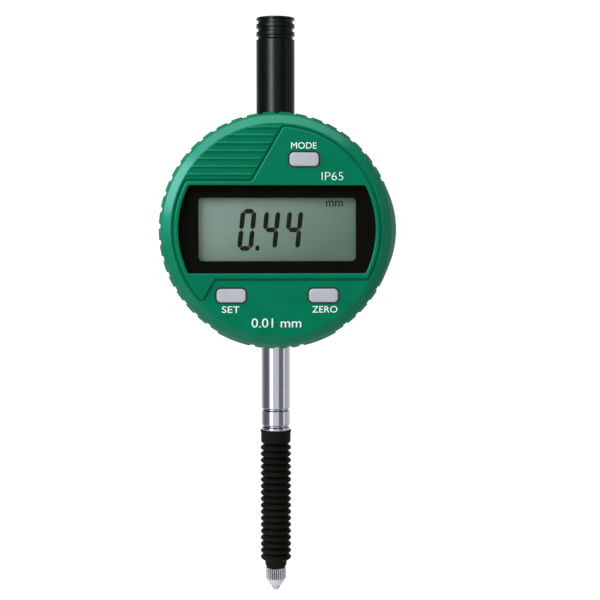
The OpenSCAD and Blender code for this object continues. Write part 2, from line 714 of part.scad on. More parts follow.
front_shell();
rear_case();
shell_seal();
shell_screws();
back_cover();
back_seal();
back_screws();
window_lens();
window_mask();
lcd_panel();
lcd_frame();
zebra_strips();
main_board();
board_screws();
chips();
dome_switches();
key_seals();
mode_key();
set_key();
zero_key();
scale_board();
battery_contacts();
battery();
battery_tray();
tray_seal();
guide_rail();
rail_screws();
guide_pin();
carriage();
clamp_screws();
slider_board();
spring_anchor();
spring_pin();
return_spring();
stop_buffer();
upper_bush();
lower_bush();
plunger();
stem();
end_ring();
rubber_boot();
contact_point();
contact_ball();
top_cap();
cap_seal();
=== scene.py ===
# %% [markdown]
# # A digital dial indicator
# A dial indicator measures small movements: a steel plunger slides through a stem, and the case above
# it shows how far. This one has a liquid crystal display, three keys, and a rubber boot that keeps
# coolant out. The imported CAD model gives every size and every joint. Here each visible part gets the
# rounded edges and the finish that the eye expects, as new surfaces worked out with numpy.

import json
import math

import bmesh
import bpy
import numpy as np
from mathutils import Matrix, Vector, geometry


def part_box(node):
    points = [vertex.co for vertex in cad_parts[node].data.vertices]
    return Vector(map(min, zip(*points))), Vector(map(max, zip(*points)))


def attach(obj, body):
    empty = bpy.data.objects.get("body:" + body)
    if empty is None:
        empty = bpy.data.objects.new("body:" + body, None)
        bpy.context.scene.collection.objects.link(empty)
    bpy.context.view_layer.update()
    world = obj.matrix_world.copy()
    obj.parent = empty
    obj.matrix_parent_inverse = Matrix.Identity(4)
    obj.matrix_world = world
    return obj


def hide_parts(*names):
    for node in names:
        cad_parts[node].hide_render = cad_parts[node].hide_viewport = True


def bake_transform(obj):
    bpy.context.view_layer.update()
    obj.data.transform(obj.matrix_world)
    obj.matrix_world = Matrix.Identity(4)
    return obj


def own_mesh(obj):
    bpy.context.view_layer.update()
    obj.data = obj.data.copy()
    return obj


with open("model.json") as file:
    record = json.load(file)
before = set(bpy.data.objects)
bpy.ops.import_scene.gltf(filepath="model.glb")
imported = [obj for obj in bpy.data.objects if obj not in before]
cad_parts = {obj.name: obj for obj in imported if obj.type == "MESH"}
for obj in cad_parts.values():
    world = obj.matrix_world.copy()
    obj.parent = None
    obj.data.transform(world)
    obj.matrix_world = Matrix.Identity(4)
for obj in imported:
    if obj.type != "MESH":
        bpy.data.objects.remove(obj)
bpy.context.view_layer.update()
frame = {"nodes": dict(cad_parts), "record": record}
MM = 0.001  # the model is in metres; the shapes below are worked out in millimetres


def low(node):
    """Lowest corner of a CAD node at rest, in millimetres."""
    return np.array(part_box(node)[0]) / MM


def high(node):
    """Highest corner of a CAD node at rest, in millimetres."""
    return np.array(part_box(node)[1]) / MM


# %% [markdown]
# ## How a piece is made
# Nearly every part of this instrument is one of two shapes. Turned parts are a profile carried round
# the plunger's line. Moulded parts are an outline, seen from the front, carried along a little
# profile that rounds its edge. Both are rings of points with faces between neighbouring rings, so one
# function makes the faces. Flat areas with holes are filled by a constrained triangulation, which
# keeps every ring's own points, so the joints close exactly when doubles are merged.

# %% Rings, fills and joined shapes
def sweep(rings, wrap=False):
    """Quads between neighbouring rings. rings is (number of rings, points in a ring, 3); each ring
    closes on itself, and with wrap the last ring also joins the first."""
    rings = np.asarray(rings, float)
    rows, around = rings.shape[:2]
    row = np.arange(rows if wrap else rows - 1)[:, None]
    here = np.arange(around)[None, :]
    there = (here + 1) % around
    above = (row + 1) % rows
    quads = np.stack([row * around + here, row * around + there,
                      above * around + there, above * around + here], -1)
    return rings.reshape(-1, 3), quads.reshape(-1, 4).tolist()


def fill(outer, holes, z):
    """Flat triangles at height z between the loop outer and the loops in holes, all (n, 2)."""
    loops = [outer, *holes]
    ends = np.cumsum([0] + [len(loop) for loop in loops])
    indices = [list(range(a, b)) for a, b in zip(ends[:-1], ends[1:])]
    flat = [Vector(p) for p in np.concatenate(loops).tolist()]
    spots, _, tris, _, _, owners = geometry.delaunay_2d_cdt(flat, [], indices, 1, 1e-6)
    points = np.column_stack([np.array([tuple(p) for p in spots]), np.full(len(spots), z)])
    return points, [list(tri) for tri, owner in zip(tris, owners) if owner == [0]]


def join(*shapes):
    """One list of points and one of faces from several (points, faces) pairs."""
    points, faces, count = [], [], 0
    for some_points, some_faces in shapes:
        points.append(some_points)
        faces += [[i + count for i in face] for face in some_faces]
        count += len(some_points)
    return np.concatenate(points), faces


# %% Make the Blender object
SAME_POINT = 0.002  # points nearer than this, in millimetres, are one


def piece(name, shape, body, slot, stands_for=(), sharp=40):
    """A finished piece from (points in mm, faces): doubles merged, faces turned outwards, edges sharper
    than `sharp` degrees left crisp, and normals weighted by area so that flat faces shade flat."""
    points, faces = shape
    mesh = bpy.data.meshes.new(name)
    mesh.from_pydata((np.asarray(points) * MM).tolist(), [], faces)
    work = bmesh.new()
    work.from_mesh(mesh)
    bmesh.ops.remove_doubles(work, verts=work.verts, dist=SAME_POINT * MM)
    bmesh.ops.recalc_face_normals(work, faces=work.faces)
    work.to_mesh(mesh)
    work.free()
    return finish_piece(name, mesh, body, slot, stands_for, sharp)


def finish_piece(name, mesh, body, slot, stands_for, sharp):
    """Puts a mesh in the scene as a piece that rides on a body and takes a slot's finish."""
    mesh.polygons.foreach_set("use_smooth", np.ones(len(mesh.polygons), bool))
    mesh.set_sharp_from_angle(angle=math.radians(sharp))
    obj = bpy.data.objects.new(name, mesh)
    bpy.context.scene.collection.objects.link(obj)
    obj.modifiers.new("Flat faces shade flat", "WEIGHTED_NORMAL").keep_sharp = True
    if body:
        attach(obj, body)
    if stands_for:
        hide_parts(*stands_for)
    made_pieces[obj.name] = slot
    print(f"{name}: {len(mesh.polygons)} faces")
    return obj


made_pieces = {}

# %% [markdown]
# ## Outlines seen from the front
# The face is drawn as it is seen: x to the right, y up from the middle of the case, z towards the
# viewer. An outline is a loop of points, anticlockwise. Its corners are rounded by arcs, and moving it
# outwards by a few tenths of a millimetre gives the next line of a rounded edge.

# %% Arcs, corners and offsets
def arc(radius, start, end, step=3.0):
    """Points on a circle from one angle to another, in degrees, about `step` degrees apart."""
    count = max(2, round(abs(end - start) / step))
    turn = np.radians(np.linspace(start, end, count + 1))
    return np.column_stack([radius * np.cos(turn), radius * np.sin(turn)])


def round_corners(points, radii, closed=True, cuts=6):
    """Each corner gives way to an arc that touches both its sides. The arc's centre is on the line that
    halves the corner, at radius / sin(half angle); a radius of 0 leaves the point as it is."""
    points = np.asarray(points, float)
    radii = np.broadcast_to(radii, len(points))
    out = []
    for i, (here, radius) in enumerate(zip(points, radii)):
        before, after = points[i - 1], points[(i + 1) % len(points)]
        if radius == 0 or (not closed and i in (0, len(points) - 1)):
            out.append(here[None])
            continue
        back, on = before - here, after - here
        back, on = back / np.linalg.norm(back), on / np.linalg.norm(on)
        half = math.acos(np.clip(back @ on, -1, 1)) / 2
        centre = here + (back + on) / np.linalg.norm(back + on) * radius / math.sin(half)
        first, last = (here + way * radius / math.tan(half) - centre for way in (back, on))
        sweep_angle = math.pi - 2 * half
        t = np.linspace(0, 1, cuts + 1)[:, None]
        turned_by = np.sin((1 - t) * sweep_angle) * first + np.sin(t * sweep_angle) * last
        out.append(centre + turned_by / math.sin(sweep_angle))
    return np.concatenate(out)


def moved_out(loop, by):
    """The loop moved outwards: each point goes along the mean of its two sides' normals, lengthened so
    that both sides keep their distance."""
    side = np.roll(loop, -1, 0) - loop
    side = side / np.linalg.norm(side, axis=1)[:, None]
    normal = np.column_stack([side[:, 1], -side[:, 0]])
    both = normal + np.roll(normal, 1, 0)
    return loop + by * both * 2 / (both * both).sum(1)[:, None]


def edge_rings(loop, profile):
    """Rings in space from a loop and a profile of (distance outwards, height) pairs."""
    return np.array([np.column_stack([moved_out(loop, out), np.full(len(loop), z)]) for out, z in profile])


def rounded_box(centre, width, height, corner):
    """A rectangle with rounded corners."""
    half = np.array([width, height]) / 2
    corners = np.array([[-1, -1], [1, -1], [1, 1], [-1, 1]]) * half + np.asarray(centre, float)
    return round_corners(corners, corner)


# %% From the face's drawing to the model
case_z = (low("back_cover")[2] + high("back_cover")[2]) / 2  # height of the case's middle


def on_case(shape):
    """From the front view (x right, y up, z forward) to the model, where forward is -Y."""
    points, faces = shape
    return np.column_stack([points[:, 0], -points[:, 2], points[:, 1] + case_z]), faces


# %% [markdown]
# ## The green front shell
# The shell is one glass-filled nylon moulding. Its rim has grip grooves, a steep pad front, and a
# frosted bevel that leads the eye to the face. On the face, a raised part carries the window and the
# MODE key, with a fine channel at its foot. The grooves are a function of the angle round the rim, and
# the section is a profile, so rim and inner wall are one grid. The face is outlines with rounded edges.

# %% Sizes of the shell
case_r = high("back_cover")[0] + 1.4   # the cover is this much smaller than the case
face_front = -low("front_shell")[1]    # front of the raised part
split = -high("front_shell")[1]        # where the shell meets the rear case
relief = 0.45                          # the sunk parts lie this much deeper
sunk = face_front - relief
channel = sunk - 0.35                  # floor of the channel round the raised part
front_in = sunk - 2.0                  # inside of the front wall
cavity_r = case_r - 3
bevel_in, bevel_out = case_r - 3.25, case_r - 1
bevel_foot = sunk - 1.55               # height of the bevel's outer edge
inner_bevel = (1.3, 1.2)               # slope between inner wall and front wall: inwards, back
pad_slope = 2.0                        # the pads' front falls this much for each unit outwards
groove_depth = 0.46
foot_step = 0.4                        # the foot of the rim stands out this far
foot_half = 30                         # half angle of that foot, in degrees
edge = 0.32                            # rounding of the raised part's edge
side_swell = 0.45                      # the rim swells this much in front of the battery drawer
print("case radius", round(case_r, 3), "face", round(face_front, 3), "split", round(split, 3))

# %% The rim's grip grooves
grip_angles = np.concatenate([np.arange(26, 235, 8), np.arange(306, 331, 8), np.arange(258, 283, 6)]).astype(float)


def ramp(x, start, end):
    """0 up to start, 1 from end, and a smooth S between."""
    t = np.clip((x - start) / (end - start), 0, 1)
    return t * t * (3 - 2 * t)


def rim_radius(angle):
    """Radius of the rim at an angle in degrees: the case's own, plus the foot's step, plus a slow swell
    at the right, less a groove's depth where the nearest groove is under half its width away."""
    way = np.abs((angle[:, None] - grip_angles[None, :] + 180) % 360 - 180).min(1) * math.radians(1) * case_r
    from_foot = np.abs((angle - 270 + 180) % 360 - 180)
    from_drawer = np.abs((angle + 180) % 360 - 180)
    return (case_r + foot_step * ramp(from_foot, foot_half + 0.15, foot_half - 0.15)
            + side_swell * ramp(from_drawer, 24, 6) - groove_depth * ramp(way, 0.82, 0.48))


across_groove = np.degrees(np.array([0, 0.3, 0.48, 0.55, 0.62, 0.68, 0.75, 0.82, 0.95]) / case_r)
rim_angles = np.unique(np.round(np.concatenate([
    (grip_angles[:, None] + across_groove).ravel() % 360,
    (grip_angles[:, None] - across_groove).ravel() % 360,
    [a for a in np.arange(0, 360, 1.0) if np.abs(a - grip_angles).min() > 1.9],
    [239.85, 240, 240.15, 299.85, 300, 300.15],
]), 4))
radii = rim_radius(rim_angles)
print(len(rim_angles), "angles round the rim")

# %% The rim and the inner wall, as one grid
unit = np.column_stack([np.cos(np.radians(rim_angles)), np.sin(np.radians(rim_angles))])


def rim_ring(radius, z):
    """A ring at each angle's own radius and height."""
    radius = np.broadcast_to(radius, len(unit))
    return np.column_stack([unit * radius[:, None], np.broadcast_to(z, len(unit))])


pad_top = bevel_foot - pad_slope * (radii - bevel_out)  # height where each part of the rim meets the pads' front
rim_rows = [
    rim_ring(cavity_r - inner_bevel[0], front_in),
    rim_ring(cavity_r, front_in - inner_bevel[1]),
    rim_ring(cavity_r, split),
    rim_ring(radii, split),
    rim_ring(radii, pad_top - 0.26),
    rim_ring(radii - 0.02, pad_top - 0.1),
    rim_ring(radii - 0.07, pad_top + 0.06),
    rim_ring(radii - 0.14, pad_top + 0.28),
    rim_ring(bevel_out + 0.09, bevel_foot - 0.18),
    rim_ring(bevel_out + 0.04, bevel_foot - 0.07),
    rim_ring(bevel_out - 0.06, bevel_foot + 0.03),
    rim_ring(bevel_out - 0.2, bevel_foot + 0.138),
    rim_ring(bevel_in + 0.25, sunk - 0.172),
    rim_ring(bevel_in + 0.12, sunk - 0.09),
    rim_ring(bevel_in, sunk - 0.03),
    rim_ring(bevel_in - 0.1, sunk),
]
rim = sweep(rim_rows)

# %% [markdown]
# The raised part's outline has straight edges at the window's band, two edges slanted at 60 degrees,
# and the case's own curve elsewhere. The curve is cut into short sides, so each corner's arc touches a
# straight side on either hand.

# %% Outline of the raised part
plateau_r = case_r - 4.3
band = 13.05                           # half height of the straight-edged band
upper_corner, lower_corner = -6.8, -16.8
slant = np.array([math.cos(math.radians(60)), math.sin(math.radians(60))])


def reach(start, direction, radius):
    """Where a line from start meets the circle: the positive root of |start + t direction| = radius."""
    start = np.array(start, float)
    b = start @ direction
    return start + direction * (-b + math.sqrt(b * b - start @ start + radius * radius))


def angle_of(point):
    """Angle of a point seen from the middle of the case, in degrees."""
    return math.degrees(math.atan2(point[1], point[0]))


top_meet = reach([upper_corner, band], slant, plateau_r)
low_meet = reach([lower_corner, -band], -slant, plateau_r)
side_angle = math.degrees(math.asin(band / plateau_r))
right_arc = arc(plateau_r, -side_angle, angle_of(top_meet))
left_arc = arc(plateau_r, 180 - side_angle, angle_of(low_meet) + 360)
outline = np.concatenate([right_arc, [[upper_corner, band]], left_arc, [[lower_corner, -band]]])
corner_radii = np.zeros(len(outline))
meet_round, corner_round = 0.5, 0.95   # where the arcs meet the straight edges, and at the two corners
corner_radii[[0, len(right_arc) - 1, len(right_arc) + 1, len(right_arc) + len(left_arc)]] = meet_round
corner_radii[[len(right_arc), len(outline) - 1]] = corner_round
plateau = round_corners(outline, corner_radii)

# %% Window, key and rib outlines
window_r, window_mid, window_h = case_r - 5.4, 0.2, 23.7
window_top, window_low = window_mid + window_h / 2, window_mid - window_h / 2
right_side = arc(window_r, *[math.degrees(math.asin(y / window_r)) for y in (window_low, window_top)])
left_side = right_side[::-1] * [-1, 1]
window_radii = np.zeros(2 * len(right_side))
window_round = 0.45
window_radii[[0, len(right_side) - 1, len(right_side), -1]] = window_round
window = round_corners(np.concatenate([right_side, left_side]), window_radii)
view_w, view_h = 42.4, 17.0
frame_room = 1.0                       # the hole behind the window is this much larger than the view
opening = rounded_box([0, window_mid], view_w + frame_room, view_h + frame_room, 0.6)

key_size = np.array([7.85, 3.65])
key_spots = {"mode_key": (7.2, 19.0, face_front), "set_key": (-12.45, -17.6, sunk), "zero_key": (12.46, -17.6, sunk)}
key_room = np.array([0.84, 0.78])      # a hole is this much larger than its key
key_holes = {name: rounded_box(spot[:2], *(key_size + key_room), 1.5) for name, spot in key_spots.items()}

rib_count, rib_first, rib_pitch, rib_w = 7, 1.87, 2.1, 0.66
rib_end, rib_reach = 0.85, bevel_in - 0.15
rib_low = band + rib_first - rib_w / 2 + rib_pitch * np.arange(rib_count)


def slant_x(y):
    """Where the raised part's upper slanted edge is at height y."""
    return upper_corner + (y - band) * slant[0] / slant[1]


def rib(bottom):
    """Four-sided rib from the bevel's circle to a line beside the slanted edge, its corners rounded."""
    top = bottom + rib_w
    corners = [(-math.sqrt(rib_reach ** 2 - bottom ** 2), bottom), (slant_x(bottom) - rib_end, bottom),
               (slant_x(top) - rib_end, top), (-math.sqrt(rib_reach ** 2 - top ** 2), top)]
    return round_corners(corners, [0.06, 0.25, 0.25, 0.25])


ribs = [rib(bottom) for bottom in rib_low]
print(len(ribs), "ribs")

# %% [markdown]
# The rounded edges are quarter circles. Carried round the outline they make the raised part's edge and
# the channel at its foot; the same curve, smaller, rounds the rims of the key holes and the ribs.

# %% Edge profiles and the face
quarter = np.radians(np.linspace(0, 90, 6))


def rounded_rim(radius, top, inwards=1):
    """Quarter circle from the flat top down to a wall: (distance outwards, height) pairs. With
    inwards -1 it is the rim of a hole."""
    return [(inwards * (radius * math.sin(a) - radius), top - radius * (1 - math.cos(a))) for a in quarter]


plateau_profile = rounded_rim(edge, face_front) + [
    (0.02, channel + 0.1), (0.09, channel), (0.42, channel), (0.52, channel + 0.05),
    (0.58, sunk - 0.1), (0.62, sunk - 0.03), (0.68, sunk)]
window_rim, lens_seat = 0.28, face_front - 1.3
window_profile = rounded_rim(window_rim, face_front, -1) + [(0, lens_seat)]
rib_top = sunk + 0.36
rib_profile = [(0.08, sunk), (0.03, sunk + 0.02), (-0.18, rib_top - 0.05), (-0.24, rib_top)]
hole_rim = 0.14

inside_face = [opening] + list(key_holes.values())
face_shapes = [
    rim,
    sweep(edge_rings(plateau, plateau_profile)),
    sweep(edge_rings(window, window_profile)),
    sweep(edge_rings(opening, [(0, lens_seat), (0, front_in)])),
    fill(window, [opening], lens_seat),
    fill(rim_rows[0][:, :2], inside_face, front_in),
]
for name, (x, y, surface) in key_spots.items():
    face_shapes.append(sweep(edge_rings(key_holes[name], rounded_rim(hole_rim, surface, -1) + [(0, front_in)])))
for line in ribs:
    face_shapes.append(sweep(edge_rings(line, rib_profile)))
    face_shapes.append(fill(moved_out(line, rib_profile[-1][0]), [], rib_top))
rims = {name: moved_out(hole, hole_rim) for name, hole in key_holes.items()}
raised_holes = [moved_out(window, window_rim), rims["mode_key"]]
face_shapes.append(fill(moved_out(plateau, plateau_profile[0][0]), raised_holes, face_front))
sunk_holes = [moved_out(plateau, plateau_profile[-1][0]), rims["set_key"], rims["zero_key"]]
sunk_holes += [moved_out(line, rib_profile[0][0]) for line in ribs]
face_shapes.append(fill(rim_rows[-1][:, :2], sunk_holes, sunk))

# %% Screw bosses inside the shell
def standing_tube(spot, outer, inner, bottom, top, sides=32):
    """A tube along the line of sight: four rings, each a circle about the spot."""
    turn = np.linspace(0, 2 * math.pi, sides, endpoint=False)
    rings = [np.column_stack([spot[0] + r * np.cos(turn), spot[1] + r * np.sin(turn), np.full(sides, z)])
             for r, z in ((inner, bottom), (outer, bottom), (outer, top), (inner, top))]
    return sweep(rings, wrap=True)


screw_circle, boss_r, boss_hole_r = 26.3, 2.4, 1.0
board_front, board_boss_r, board_hole_r = 8.0, 2.0, 0.8
boss_root = front_in + 0.2  # the bosses run a little into the front wall
case_screws = [(screw_circle * math.cos(a), screw_circle * math.sin(a)) for a in np.radians([51, 129, 242, 298])]
board_screw_spots = [(22.5, 14.8), (-22.5, 14.8), (21.5, -16.0), (-21.5, -16.0)]
bosses = [standing_tube(spot, boss_r, boss_hole_r, split, boss_root) for spot in case_screws]
bosses += [standing_tube(spot, board_boss_r, board_hole_r, board_front, boss_root) for spot in board_screw_spots]
piece("face_shell", on_case(join(*face_shapes, *bosses)), "case", "green_shell", ["front_shell"], sharp=44)

# %% [markdown]
# ## The three keys
# Each key is a light grey elastomer-coated cap with a flange that keeps it behind the front wall. It
# is a pillow: the same rounded outline drawn in over a quarter circle, then over a very shallow crown.

# %% A flat plate with holes
def plate(outer, holes, back, front):
    """A flat plate with holes: a wall round each loop and a fill on each side."""
    walls = [sweep(edge_rings(loop, [(0, back), (0, front)])) for loop in [outer, *holes]]
    return join(*walls, fill(outer, holes, back), fill(outer, holes, front))


# %% Keys
key_proud, key_round, key_corner, key_crown = 0.45, 0.32, 1.15, 0.03
flange_out, flange_t, flange_gap = 0.45, 0.8, 0.35
stalk_r, stalk_bore_r = 1.2, 0.3
lip_overlap, lip_low, lip_high = 0.03, 0.8, 0.16  # how far the lip runs in, and its depths below the surface
for name, (x, y, surface) in key_spots.items():
    top = surface + key_proud
    flange_top = front_in - flange_gap
    flange_low = flange_top - flange_t
    key_outline = rounded_box((x, y), *key_size, key_corner)
    key_profile = [(flange_out, flange_low), (flange_out, flange_top), (0, flange_top)]
    key_profile += rounded_rim(key_round, top - key_crown)[::-1] + [(-0.6, top - 0.008), (-0.85, top)]
    body_of_key = [sweep(edge_rings(key_outline, key_profile)),
                   fill(moved_out(key_outline, key_profile[-1][0]), [], top),
                   fill(moved_out(key_outline, flange_out), [], flange_low)]
    stalk_low = -high(name)[1]
    stalk = standing_tube((x, y), stalk_r, stalk_bore_r, stalk_low, flange_low + 0.1)
    piece(name + "_cap", on_case(join(*body_of_key, stalk)), name, "grey_key", [name])
    # A dark rubber lip in the gap round each key; its dark colour also paints the shade that falls in that gap.
    lip_edges = moved_out(key_holes[name], lip_overlap), [moved_out(key_outline, lip_overlap)]
    lip = plate(*lip_edges, surface - lip_low, surface - lip_high)
    piece(name + "_lip", on_case(lip), "case", "seal_rubber")

# %% [markdown]
# ## The window's black border
# The window is a clear pane with black printed on its back, open in the middle with rounded corners.
# The pane itself is the CAD part, which needs only its glass; the print gets its rounded opening here.

# %% Printed border
view_corner = 1.05
mask_back, mask_front = -high("window_mask")[1], -low("window_mask")[1]
mask_opening = rounded_box([0, window_mid], view_w, view_h, view_corner)
border = plate(moved_out(window, -0.1), [mask_opening], mask_back, mask_front)
piece("window_print", on_case(border), "case", "black_print", ["window_mask"])

# %% [markdown]
# ## The reading
# A liquid crystal digit is seven segments with mitred ends, all leaning a little. The reading is
# 0.44, as thin dark plates on the panel, so that it keeps crisp edges at any distance.

# %% Seven-segment digits
digit_w, digit_h, stroke, mitre_gap = 4.3, 11.3, 1.28, 0.07
MARK = 0.03  # how far the dark marks stand out from the panel
lean = math.tan(math.radians(6))
half_w, half_h = (digit_w - stroke) / 2, (digit_h - stroke) / 2


def bar(start, end):
    """Six-sided segment between two joints: pointed at both ends, `stroke` wide between."""
    start, end = np.array(start, float), np.array(end, float)
    along = (end - start) / np.linalg.norm(end - start)
    side = np.array([along[1], -along[0]]) * stroke / 2
    start, end = start + along * mitre_gap, end - along * mitre_gap
    run = along * stroke / 2
    return np.array([start, start + run + side, end - run + side, end, end - run - side, start + run - side])


SEGMENTS = {
    "a": bar((-half_w, half_h), (half_w, half_h)), "b": bar((half_w, 0), (half_w, half_h)),
    "c": bar((half_w, -half_h), (half_w, 0)), "d": bar((-half_w, -half_h), (half_w, -half_h)),
    "e": bar((-half_w, -half_h), (-half_w, 0)), "f": bar((-half_w, 0), (-half_w, half_h)),
    "g": bar((-half_w, 0), (half_w, 0)),
}
LIT = {"0": "abcdef", "4": "bcfg"}
panel_front = -low("lcd_panel")[1]


def leaning(points):
    """Sheared to the right in proportion to height."""
    return points + np.column_stack([points[:, 1] * lean, np.zeros(len(points))])


DIGITS = [(-8.2, "0"), (-1.75, "4"), (4.45, "4")]  # place and value
marks = [leaning(SEGMENTS[s]) + [x, 0.1] for x, digit in DIGITS for s in LIT[digit]]
marks.append(rounded_box((-5.35, -4.85), 1.05, 1.3, 0.1))
dark_marks = join(*[plate(mark, [], panel_front, panel_front + MARK) for mark in marks])
piece("reading", on_case(dark_marks), "case", "black_print")

# %% [markdown]
# ## Printed words
# The words beside the keys are pad-printed in white. Blender's own typeface is made a mesh, sized to
# the printed width and height, and laid on the surface as a film of ink.

# %% Lettering
INK = 0.025  # thickness of the printed film


def words(text, weight):
    """Blender's text as a mesh, one unit thick: (points, faces)."""
    curve = bpy.data.curves.new(text, "FONT")
    curve.body, curve.extrude, curve.offset, curve.resolution_u = text, 0.5, weight, 4
    holder = bpy.data.objects.new(text, curve)
    bpy.context.scene.collection.objects.link(holder)
    mesh = bpy.data.meshes.new_from_object(holder.evaluated_get(bpy.context.evaluated_depsgraph_get()))
    points = np.empty(len(mesh.vertices) * 3)
    mesh.vertices.foreach_get("co", points)
    faces = [list(p.vertices) for p in mesh.polygons]
    bpy.data.objects.remove(holder)
    return points.reshape(-1, 3), faces


def printed(name, text, centre, size, surface, slot="white_ink", weight=0.012):
    """Text scaled to a width and height about a centre, on a surface at a given height."""
    points, faces = words(text, weight)
    lowest, highest = points.min(0), points.max(0)
    unit_points = (points - (lowest + highest) / 2) / (highest - lowest)
    placed = unit_points * [size[0], size[1], INK] + [centre[0], centre[1], surface + INK / 2]
    return piece(name, on_case((placed, faces)), "case", slot)


printed("word_mode", "MODE", (7.1, 22.7), (6.85, 1.7), face_front, weight=0.0)
printed("word_set", "SET", (-12.6, -21.35), (4.75, 1.78), sunk, weight=0.0)
printed("word_zero", "ZERO", (12.8, -21.35), (6.8, 1.78), sunk, weight=0.0)
printed("splash_rating", "IP65", (14.8, 14.5), (5.8, 2.15), face_front, weight=-0.018)
printed("resolution_mark", "0.01 mm", (-0.3, -25.0), (13.4, 2.5), sunk, weight=0.0)
printed("unit_mark", "mm", (15.5, 7.15), (4.6, 1.6), panel_front, slot="black_print", weight=0.004)

# %% [markdown]
# ## Turned parts
# The cap, the stem, its end ring and the contact were all made on a lathe, so each is a profile of
# (radius, height) pairs carried round the plunger's line. A turned edge is never razor sharp: the tool
# leaves a small break, and that break is what catches the light.

# %% Carry a profile round the plunger's line
def turned(profile, sides=96, wrap=False):
    """Rings of radius r at height z, `sides` points each. A profile that starts and ends on the axis
    closes itself; with wrap it is a ring with a hole."""
    profile = np.asarray(profile, float)
    turn = np.linspace(0, 2 * math.pi, sides, endpoint=False)
    rings = np.stack([profile[:, :1] * np.cos(turn), profile[:, :1] * np.sin(turn),
                      np.repeat(profile[:, 1:], sides, 1)], -1)
    return sweep(rings, wrap)


def lathe(name, corners, sides, slot, node, body="case", cuts=4, wrap=True):
    """A turned piece from the (radius, height, rounding) of each corner of its profile."""
    corners = np.array(corners)
    profile = round_corners(corners[:, :2], corners[:, 2], closed=wrap, cuts=cuts)
    piece(name, turned(profile, sides, wrap), body, slot, [node])


# %% Top cap
cap_r = high("top_cap")[0]
cap_top, cap_low = high("top_cap")[2], low("top_cap")[2]
cap_seat = case_z + case_r - 1.6
groove_w, groove_pitch, groove_in, cap_lip, cap_roof = 1.15, 2.18, 0.5, 0.6, 1.2
thread_r = high("upper_bush")[0] + 0.9
bore_r = high("plunger")[0] + 0.75
cap_corners = [(0, cap_top, 0), (cap_r, cap_top, 0.22)]
for i, slope in enumerate((0.1, 0.1, 0.35)):  # the lowest groove runs out in a longer slope
    edge_top = cap_top - cap_lip - i * groove_pitch
    cap_corners += [(cap_r, edge_top, 0.1), (cap_r - groove_in, edge_top - 0.1, 0.12),
                    (cap_r - groove_in, edge_top - groove_w + slope, 0.12), (cap_r, edge_top - groove_w, 0.1)]
cap_corners += [(cap_r, cap_seat, 0.15), (thread_r, cap_seat, 0), (thread_r, cap_low, 0.2), (bore_r, cap_low, 0.1),
                (bore_r, cap_top - cap_roof, 0.3), (0, cap_top - cap_roof, 0)]
lathe("cap", cap_corners, 96, "black_cap", "top_cap", wrap=False)

# %% Stem and end ring
stem_low, stem_top = low("stem")[2], high("stem")[2]
stem_r = -low("end_ring")[0] + 0.01
shank_r = high("stem")[0]
shank_low = case_z - math.sqrt((case_r + foot_step) ** 2 - shank_r ** 2)
bush_r = high("lower_bush")[0]
lathe("stem_tube", [
    (bush_r, stem_low, 0.1), (stem_r, stem_low, 0.14), (stem_r, shank_low, 0), (shank_r, shank_low, 0.1),
    (shank_r, stem_top, 0.2), (bush_r, stem_top, 0.1)], 128, "ground_steel", "stem")

neck_r, ring_h, ring_gap, nose_r = stem_r - 0.4, 4.0, 0.7, 3.4
ring_r = stem_r - 0.01
plunger_r = high("plunger")[0]
bore_end = plunger_r + 0.3
ring_high, ring_low = high("end_ring")[2], low("end_ring")[2]
ring_top = stem_low - ring_gap
seat_top = ring_top - ring_h - ring_gap
boot_top = seat_top - 0.8
lathe("stem_end_ring", [
    (bore_end, ring_high, 0), (bush_r, ring_high, 0.1), (bush_r, stem_low, 0), (neck_r, stem_low, 0.05),
    (neck_r, ring_top, 0.05), (ring_r, ring_top, 0.14), (ring_r, ring_top - ring_h, 0.14),
    (neck_r, ring_top - ring_h, 0.05), (neck_r, seat_top, 0.05), (ring_r, seat_top, 0.1), (ring_r, boot_top, 0.05),
    (nose_r, boot_top, 0), (nose_r, ring_low, 0.1), (bore_end, ring_low, 0.1)], 128, "ground_steel", "end_ring")

# %% [markdown]
# The contact screws into the plunger. Fingers turn it by a straight knurl, so its radius also depends
# on the angle: each tooth is a rounded ridge. Below the knurl it narrows in a slightly full cone to a
# hard ball.

# %% Contact and ball
ball_r = high("contact_ball")[0]
ball_z = low("contact_ball")[2] + ball_r
knurl_r, knurl_h, cone_h, teeth, tooth_depth = high("contact_point")[0], 3.4, 2.1, 28, 0.3
knurl_top = ball_z + cone_h + knurl_h
knurl_low = knurl_top - knurl_h
tip_turn = np.linspace(0, 2 * math.pi, teeth * 8, endpoint=False)
tooth = np.abs(np.sin(tip_turn * teeth / 2)) ** 1.3  # 0 in the gaps, 1 on the ridges


def tip_ring(radius, z, cut=0.0):
    """A ring whose radius falls by `cut` in the gaps between the teeth."""
    r = radius - cut * (1 - tooth)
    return np.column_stack([r * np.cos(tip_turn), r * np.sin(tip_turn), np.full(len(r), z)])


